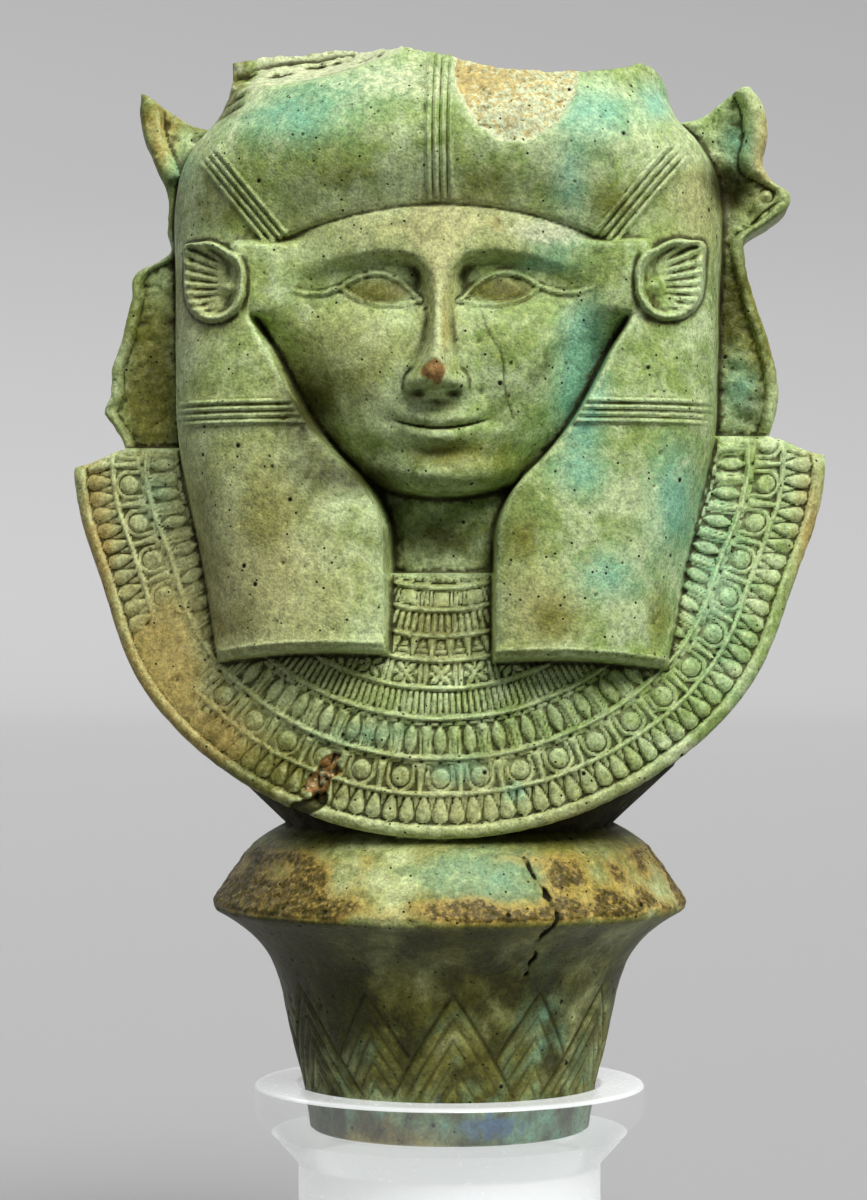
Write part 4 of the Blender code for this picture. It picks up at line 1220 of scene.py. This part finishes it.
# Coats laid over the glaze, one after another: colour, the mesh's layer that says where, the cloud that
# frays it, the sums of the two where it starts and where it is full, and how much it then covers
COATS = (
    ("warm", "warm", "broad", 0.55, 1.3, 0.9),
    ("olive", "olive", "broad", 0.7, 1.6, 0.6),
    ("olive", "olive", "middle", 0.85, 1.4, 0.7),
    ("turquoise", "turquoise", "middle", 0.65, 1.5, 0.8),
    ("pale_break", "pale", "fine", 0.6, 1.1, 0.9),
    ("worn_tan", "pale", "speck", 1.5, 1.62, 0.8),
    ("worn_tan", "tan", "middle", 0.65, 1.3, 0.8),
    # painted highlight on raised edges
    ("pale_green", "edge", "fine", 0.9, 1.4, 0.6),
    ("crust", "crust", "fine", 0.55, 1.6, 0.85),
    ("grime_and_shade", "crust", "middle", 1.2, 1.8, 0.4),
    ("earth_and_shade", "crust", "speck", 1.3, 1.55, 0.75),
    ("grime_and_shade", "stain", "middle", 0.7, 1.45, 0.86),
    ("earth_and_shade", "stain", "speck", 1.4, 1.7, 0.5),
    ("blue", "blue", "fine", 0.8, 1.3, 0.8),
    ("core", "core", "grain", 0.8, 1.25, 0.9),
    ("pale_break", "core", "speck", 1.5, 1.6, 0.7),
    ("earth_and_shade", "core", "fine", 1.5, 1.8, 0.6),
    # these three paint shade in the hollows and on the neck, along with the dirt in the grooves
    ("grime_and_shade", "hollow", "middle", 0.75, 1.6, 0.8),
    ("grime_and_shade", "groove", "fine", 0.8, 1.2, 0.85),
    ("earth_and_shade", "groove", "middle", 1.1, 1.6, 0.95),
)

# Open pin holes: spacing and radius in mm
PIN_HOLES = ((1.5, 0.17), (4.5, 0.34))


def faience_material(looks):
    """Fired quartz composition, moulded, with a satin glaze that has been buried and rubbed.

    The eye gets cloudy greens, pin holes and sandy grain, dark earth and painted shade in every hollow,
    a painted highlight of paler glaze on the edges that stand up, and a soft sheen.
    """
    material, tree, shader = new_material("glazed_composition_moulded", IOR=1.5, Specular_IOR_Level=0.22)
    place = (add_node(tree, "ShaderNodeTexCoord", {}), "Object")
    clouds = {}
    for name, size, detail, distortion in CLOUDS:
        clouds[name] = (add_node(tree, "ShaderNodeTexNoise", {
            "Vector": place, "Scale": per_metre(size), "Detail": detail, "Roughness": 0.6,
            "Distortion": distortion,
        }), "Fac")
    mottle = add_node(tree, "ShaderNodeMath", {0: clouds["broad"], 1: clouds["middle"]}, operation="ADD")
    mottle = add_node(tree, "ShaderNodeMapRange", {
        "Value": (mottle, "Value"), "From Min": 0.86, "From Max": 1.14})
    colour = add_node(tree, "ShaderNodeMix", {
        0: (mottle, "Result"), 6: looks.pale_green, 7: looks.mid_green}, data_type="RGBA")
    for coat, layer, cloud, start, full, cover in COATS:
        where = add_node(tree, "ShaderNodeAttribute", {}, attribute_name=layer, attribute_type="GEOMETRY")
        frayed = add_node(tree, "ShaderNodeMath", {0: (where, "Fac"), 1: clouds[cloud]}, operation="ADD")
        share = add_node(tree, "ShaderNodeMapRange", {
            "Value": (frayed, "Value"), "From Min": start, "From Max": full, "To Max": cover})
        colour = add_node(tree, "ShaderNodeMix", {
            0: (share, "Result"), 6: (colour, 2), 7: getattr(looks, coat)}, data_type="RGBA")
    sandy = add_node(tree, "ShaderNodeMath", {0: clouds["grain"], 1: clouds["fine"]}, operation="ADD")
    grain = add_node(tree, "ShaderNodeMapRange", {
        "Value": (sandy, "Value"), "From Min": 0.7, "From Max": 1.3, "To Min": 0.5, "To Max": 1.45})
    colour = (add_node(tree, "ShaderNodeVectorMath", {
        0: (colour, 2), "Scale": (grain, "Result")}, operation="SCALE"), "Vector")
    # Dirt and painted shade of the grooves, then the pin holes, also make the glaze duller and lower
    dirt_and_shade = (share, "Result")
    for spacing, radius in PIN_HOLES:
        cells = add_node(tree, "ShaderNodeTexVoronoi", {"Vector": place, "Scale": per_metre(spacing)})
        hole = add_node(tree, "ShaderNodeMapRange", {
            "Value": (cells, "Distance"), "From Min": radius / spacing, "From Max": 0.55 * radius / spacing})
        dark = add_node(tree, "ShaderNodeMix", {
            0: (hole, "Result"), 6: colour, 7: looks.earth_and_shade}, data_type="RGBA")
        colour = (dark, 2)
        deeper = add_node(tree, "ShaderNodeMath", {0: dirt_and_shade, 1: (hole, "Result")}, operation="MAXIMUM")
        dirt_and_shade = (deeper, "Value")
    tree.links.new(colour[0].outputs[colour[1]], shader.inputs["Base Color"])
    matt = add_node(tree, "ShaderNodeMapRange", {"Value": dirt_and_shade, "To Min": looks.roughness, "To Max": 0.9})
    tree.links.new(matt.outputs["Result"], shader.inputs["Roughness"])
    height = add_node(tree, "ShaderNodeMath", {0: (sandy, "Value"), 1: dirt_and_shade}, operation="SUBTRACT")
    bump = add_node(tree, "ShaderNodeBump", {
        "Strength": 0.9, "Distance": 0.1 * MM, "Height": (height, "Value")})
    tree.links.new(bump.outputs["Normal"], shader.inputs["Normal"])
    return material


def acrylic_material(name, see_through, looks):
    """Cast acrylic: see_through is the share of the light that its surface lets straight through.

    The eye gets a clear, slightly milky body, with duller streaks where fine scratches cross. The
    glow is painted light: the surface gives out an even light of its own, though it is no lamp.
    """
    material, tree, shader = new_material(
        name, Base_Color=looks.tint, Transmission_Weight=looks.refracted, IOR=1.49, Alpha=1.0 - see_through,
        Emission_Color=looks.tint, Emission_Strength=looks.glow)
    place = (add_node(tree, "ShaderNodeTexCoord", {}), "Object")
    scratches = add_node(tree, "ShaderNodeTexNoise", {
        "Vector": place, "Scale": per_metre(1.4), "Detail": 6.0, "Roughness": 0.7, "Distortion": 2.0})
    rubbed = add_node(tree, "ShaderNodeMapRange", {
        "Value": (scratches, "Fac"), "From Min": 0.4, "From Max": 0.75,
        "To Min": looks.roughness, "To Max": 0.4})
    tree.links.new(rubbed.outputs["Result"], shader.inputs["Roughness"])
    bump = add_node(tree, "ShaderNodeBump", {
        "Strength": 0.25, "Distance": 0.05 * MM, "Height": (scratches, "Fac")})
    tree.links.new(bump.outputs["Normal"], shader.inputs["Normal"])
    return material


def paper_material(looks):
    """Matt graduated background paper: a little lighter where it lies flat than where it stands up, so that
    it looks even.
    """
    material, tree, shader = new_material(
        "background_paper_uncoated", Roughness=0.9, Specular_IOR_Level=0.1)
    place = (add_node(tree, "ShaderNodeTexCoord", {}), "Object")
    split = add_node(tree, "ShaderNodeSeparateXYZ", {"Vector": place})
    level = add_node(tree, "ShaderNodeMapRange", {"Value": (split, "Z"), "From Max": 0.5})
    shade = add_node(tree, "ShaderNodeMix", {
        0: (level, "Result"), 6: looks.floor, 7: looks.wall}, data_type="RGBA")
    tree.links.new(shade.outputs[2], shader.inputs["Base Color"])
    return material


# Settings

class HeadLooks(bpy.types.PropertyGroup):
    cell: FloatProperty(
        name="Carving grid", description="Spacing of the points that the carving is worked out on, in mm",
        default=0.2, min=0.1, max=1.0)
    relief_triangles: IntProperty(
        name="Relief triangles", description="Triangles kept on the mask, wig and collar",
        default=148000, min=10000, max=180000)
    capital_triangles: IntProperty(
        name="Capital triangles", description="Triangles kept on the papyrus capital",
        default=44000, min=5000, max=60000)
    # Also the painted highlight on raised edges.
    pale_green: colour_property("Pale glaze", "Glaze where it is thin and well lit", "#C6D9A0")
    mid_green: colour_property("Green glaze", "Glaze between the pale clouds", "#92AC5C")
    warm: colour_property("Warm glaze", "Glaze that has turned yellow", "#CBCB8C")
    # Also painted shade under the lower lip, on the bib and on the side stubs.
    olive: colour_property("Olive glaze", "Glaze stained by burial", "#7D7B2A")
    turquoise: colour_property("Turquoise glaze", "Thick glaze that kept its blue", "#88CAAA")
    pale_break: colour_property("Pale body", "Body bared by a flake", "#D6DCB0")
    worn_tan: colour_property("Worn body", "Body where the glaze is rubbed off", "#C2A75C")
    crust: colour_property("Ochre crust", "Burial crust on the crown", "#C2A250")
    # Also painted shade in the wider hollows, on the neck and on the capital's left side.
    grime_and_shade: colour_property("Grime", "Brown film in the hollows and stains", "#3F3F10")
    # Also painted shade in the grooves and on the neck.
    earth_and_shade: colour_property("Earth", "Dirt packed into the grooves and pits", "#191504")
    core: colour_property("Orange core", "Fired core in the chips", "#A0713C")
    blue: colour_property("Blue tint", "Blue left in the lines of the bell", "#4A78A6")
    roughness: FloatProperty(
        name="Roughness", description="Dullness of the clean glaze", default=0.46, min=0.0, max=1.0)


class CradleLooks(bpy.types.PropertyGroup):
    sides: IntProperty(name="Sides", description="Facets round the cradle", default=256, min=24, max=512)
    roughness: FloatProperty(
        name="Roughness", description="Dullness where it is polished", default=0.03, min=0.0, max=1.0)
    cup_clearness: FloatProperty(
        name="Clearness of the cup", description="Share of the light that goes straight through its wall",
        default=0.93, min=0.0, max=1.0)
    stem_clearness: FloatProperty(
        name="Clearness of the stem", description="The same for the stem, foot and lip, which are rubbed",
        default=0.22, min=0.0, max=1.0)
    refracted: FloatProperty(
        name="Refracted", description="Share of the rest that is bent as in clear glass",
        default=0.12, min=0.0, max=1.0)
    # Painted light: the acrylic gives out an even light of its own, though it is no lamp.
    glow: FloatProperty(
        name="Piped light", description="Light let out evenly by the surface", default=0.24, min=0.0)
    tint: colour_property("Tint", "Colour of the acrylic", "#F8FAFA")


class StageLooks(bpy.types.PropertyGroup):
    floor: colour_property("Floor", "Paper where it lies flat", "#A5A5A5")
    wall: colour_property("Wall", "Paper where it stands up", "#959595")
    key: FloatProperty(name="Key light", description="Strength of the main light", default=4.4, min=0.0)
    top: FloatProperty(name="Top light", description="Strength of the light from above", default=0.8, min=0.0)
    fill: FloatProperty(name="Fill light", description="Strength of the fill light", default=0.14, min=0.0)
    behind: FloatProperty(
        name="Lights behind", description="Strength of the two lights behind the figure",
        default=1.5, min=0.0)
    sky: FloatProperty(name="Sky", description="Strength of the even light all round", default=0.14, min=0.0)


# The pieces

def paint_neck_shade(thing):
    """Paints the shade on the neck again, because joining leaves its seam behind the collar unshaded."""
    count = len(thing.data.vertices)
    places = np.empty(3 * count)
    thing.data.vertices.foreach_get("co", places)
    x, y, z = places.reshape(-1, 3).T / UNIT
    z = z - SEAT / UNIT
    radius = np.hypot(x / neck_spread(z), y)
    on_neck = (np.abs(radius - NECK_RADIUS) < 0.5) & (z > 34.0) & (z < NECK_TOP_Z)
    # painted shade on the neck under the collar, and no painted highlight
    for name, value in (("hollow", 1.6), ("groove", 1.0), ("edge", 0.0)):
        values = np.empty(count)
        thing.data.attributes[name].data.foreach_get("value", values)
        values[on_neck] = value
        thing.data.attributes[name].data.foreach_set("value", values)


class SISTRUM_OT_head(bpy.types.Operator):
    """Carve and glaze the sistrum head"""
    bl_idname = "sistrum.head"
    bl_label = "Sistrum head"

    def execute(self, context):
        looks = context.scene.sistrum_head
        head = carved_relief(looks.cell, WALL_ROWS)
        thin_out(head, looks.relief_triangles)
        capital = carved_capital(CAPITAL_SIDES, CAPITAL_ROWS)
        thin_out(capital, looks.capital_triangles)
        join_solids(head, capital)
        paint_neck_shade(head)
        head.name = head.data.name = "carved_hathor_head"
        head.data.shade_smooth()
        head.data.materials.clear()
        head.data.materials.append(faience_material(looks))
        if len(head.data.polygons) > MOST_TRIANGLES:
            raise RuntimeError("the head has too many triangles")
        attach(head, "root")
        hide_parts("hathor_sistrum_head")
        return {"FINISHED"}


def cradle_profile():
    """Outer and inner profile of the cradle, from the middle of the foot up and into the recess."""
    lip = CRADLE_HIGH.z
    floor = lip - RECESS_DEPTH
    recess, mouth = (STUB_RADIUS * UNIT + FIT_GAP), (STUB_RADIUS * UNIT + LIP_CLEARANCE)
    outer = mouth + CUP_WALL
    corners = [  # radius, height and how far the corner is eased
        (0.0, 0.0, 0.0), (FOOT_RADIUS, 0.0, EDGE_EASE), (FOOT_RADIUS, FOOT_THICKNESS, EDGE_EASE),
        (STEM_RADIUS, FOOT_THICKNESS, EDGE_EASE), (STEM_RADIUS, FOOT_THICKNESS + STEM_LENGTH, 0.0003),
        (outer, lip - CUP_HEIGHT, 0.0008), (outer, lip, 0.0007), (mouth, lip, 0.0004),
        (recess, floor, 0.0002), (0.0, floor, 0.0),
    ]
    return rounded_profile(corners)


def rounded_profile(corners, steps=5):
    """Points along a profile of (radius, height, easing), with each corner eased by an arc."""
    points = []
    for i, (radius, height, easing) in enumerate(corners):
        here = np.array([radius, height])
        if easing == 0.0:
            points.append(here)
            continue
        before, after = np.array(corners[i - 1][:2]) - here, np.array(corners[i + 1][:2]) - here
        start = here + before / np.linalg.norm(before) * easing
        end = here + after / np.linalg.norm(after) * easing
        for share in np.linspace(0.0, 1.0, steps):
            points.append(start * (1 - share) ** 2 + 2 * here * share * (1 - share) + end * share ** 2)
    return evenly_spaced(points, PROFILE_STEP)


def evenly_spaced(points, reach):
    """Adds points to the long stretches of a profile, so that they are shaded straight."""
    result = [points[0]]
    for last, point in zip(points, points[1:]):
        count = math.ceil(np.linalg.norm(point - last) / reach)
        result += [last + (point - last) * (i + 1) / count for i in range(count)]
    return np.array(result)


def turned(name, profile, sides):
    """A turned mesh from a profile whose first and last points are on the axis."""
    turn = 2.0 * math.pi * np.arange(sides) / sides
    radius, height = profile[1:-1].T
    angle, r = np.meshgrid(turn, radius)
    z = np.repeat(height, sides)
    points = np.column_stack([(r * np.cos(angle)).ravel(), (r * np.sin(angle)).ravel(), z])
    ends = np.array([[0.0, 0.0, profile[0][1]], [0.0, 0.0, profile[-1][1]]])
    return mesh_object(name, np.concatenate([points, ends]), turned_faces(len(radius), sides), {})


class SISTRUM_OT_cradle(bpy.types.Operator):
    """Turn and polish the clear cradle"""
    bl_idname = "sistrum.cradle"
    bl_label = "Acrylic cradle"

    def execute(self, context):
        looks = context.scene.sistrum_cradle
        cradle = turned("turned_acrylic_cradle", cradle_profile(), looks.sides)
        cradle.data.shade_smooth()
        polished = acrylic_material("acrylic_turned_polished", looks.cup_clearness, looks)
        rubbed = acrylic_material("acrylic_turned_rubbed", looks.stem_clearness, looks)
        cradle.data.materials.append(polished)
        cradle.data.materials.append(rubbed)
        for face in cradle.data.polygons:
            from_lip = CRADLE_HIGH.z - face.center.z
            face.material_index = int(from_lip < RUBBED_LIP or from_lip > RUBBED_BELOW)
        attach(cradle, "root")
        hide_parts("acrylic_cradle")
        return {"FINISHED"}


def add_light(name, toward, softness, strength):
    """A distant soft light that shines from a direction."""
    data = bpy.data.lights.new(name, "SUN")
    data.energy, data.angle = strength, softness
    light = bpy.data.objects.new(name, data)
    light.location = Vector(toward).normalized() * LIGHT_DISTANCE
    light.rotation_euler = Vector(toward).to_track_quat("Z", "Y").to_euler()
    bpy.context.scene.collection.objects.link(light)


def add_camera():
    """The photograph's view: level, 3 degrees round to the right."""
    data = bpy.data.cameras.new("view")
    data.sensor_width = SENSOR
    data.lens = SENSOR * CAMERA_DISTANCE / (PICTURE_HEIGHT * PIXEL)
    data.clip_start, data.clip_end = 0.01, 20.0
    camera = bpy.data.objects.new("view", data)
    toward = Vector((math.sin(CAMERA_TURN), -math.cos(CAMERA_TURN), 0.0))
    aside = Vector((math.cos(CAMERA_TURN), math.sin(CAMERA_TURN), 0.0))
    camera.location = Vector((0.0, 0.0, CAMERA_HEIGHT)) + CAMERA_DISTANCE * toward - CAMERA_ASIDE * aside
    camera.rotation_euler = (math.pi / 2.0, 0.0, CAMERA_TURN)
    bpy.context.scene.collection.objects.link(camera)
    bpy.context.scene.camera = camera


class SISTRUM_OT_stage(bpy.types.Operator):
    """Lay the pale floor with its rounded backdrop, and set the lights and the camera"""
    bl_idname = "sistrum.stage"
    bl_label = "Stage"

    def execute(self, context):
        looks = context.scene.sistrum_stage
        profile = [
            (0.0, STAGE_UNDER), (STAGE_RADIUS, STAGE_UNDER), (STAGE_RADIUS, STAGE_HEIGHT),
            (STAGE_FLAT + STAGE_BEND, STAGE_HEIGHT)]
        turns = np.linspace(math.pi / 2.0, 0.0, 24)
        bend = [(STAGE_FLAT + STAGE_BEND * math.sin(t), STAGE_BEND * (1.0 - math.cos(t)) - STAGE_GAP)
                for t in turns]
        stage = turned("paper_stage", np.array(profile + bend + [(0.0, -STAGE_GAP)]), 128)
        stage.data.shade_smooth()
        stage.data.materials.append(paper_material(looks))
        stage.visible_diffuse = False
        add_light("key", (0.52, -0.85, 0.88), 0.7, looks.key)
        add_light("top", (0.1, -0.25, 1.0), 0.5, looks.top)
        add_light("fill", (-0.9, -0.9, 0.3), 1.0, looks.fill)
        add_light("left", (-0.8, 0.7, 0.5), 0.8, looks.behind)
        add_light("back", (0.5, 1.0, 0.6), 0.8, looks.behind)
        world = bpy.data.worlds.new("even_sky")
        world.use_nodes = True
        world.node_tree.nodes["Background"].inputs["Color"].default_value = (1.0, 1.0, 1.0, 1.0)
        world.node_tree.nodes["Background"].inputs["Strength"].default_value = looks.sky
        context.scene.world = world
        context.scene.view_settings.view_transform = "Standard"
        add_camera()
        return {"FINISHED"}


class SISTRUM_PT_pieces(bpy.types.Panel):
    """Pieces of the sistrum head and their settings"""
    bl_idname = "SISTRUM_PT_pieces"
    bl_label = "Sistrum head"
    bl_space_type = "VIEW_3D"
    bl_region_type = "UI"
    bl_category = "Sistrum"

    def draw(self, context):
        for operator, group in PIECES:
            box = self.layout.box()
            box.operator(operator)
            settings = getattr(context.scene, group)
            for name in settings.bl_rna.properties.keys():
                if name not in ("rna_type", "name"):
                    box.prop(settings, name)


PIECES = (
    ("sistrum.head", "sistrum_head"), ("sistrum.cradle", "sistrum_cradle"),
    ("sistrum.stage", "sistrum_stage"),
)
GROUPS = (("sistrum_head", HeadLooks), ("sistrum_cradle", CradleLooks), ("sistrum_stage", StageLooks))
CLASSES = (
    HeadLooks, CradleLooks, StageLooks,
    SISTRUM_OT_head, SISTRUM_OT_cradle, SISTRUM_OT_stage, SISTRUM_PT_pieces,
)


def register():
    for kind in CLASSES:
        bpy.utils.register_class(kind)
    for name, group in GROUPS:
        setattr(bpy.types.Scene, name, PointerProperty(type=group))


def unregister():
    for name, _ in GROUPS:
        delattr(bpy.types.Scene, name)
    for kind in reversed(CLASSES):
        bpy.utils.unregister_class(kind)


def main():
    register()
    bpy.ops.sistrum.head()
    bpy.ops.sistrum.cradle()
    bpy.ops.sistrum.stage()


if __name__ == "__main__":
    main()
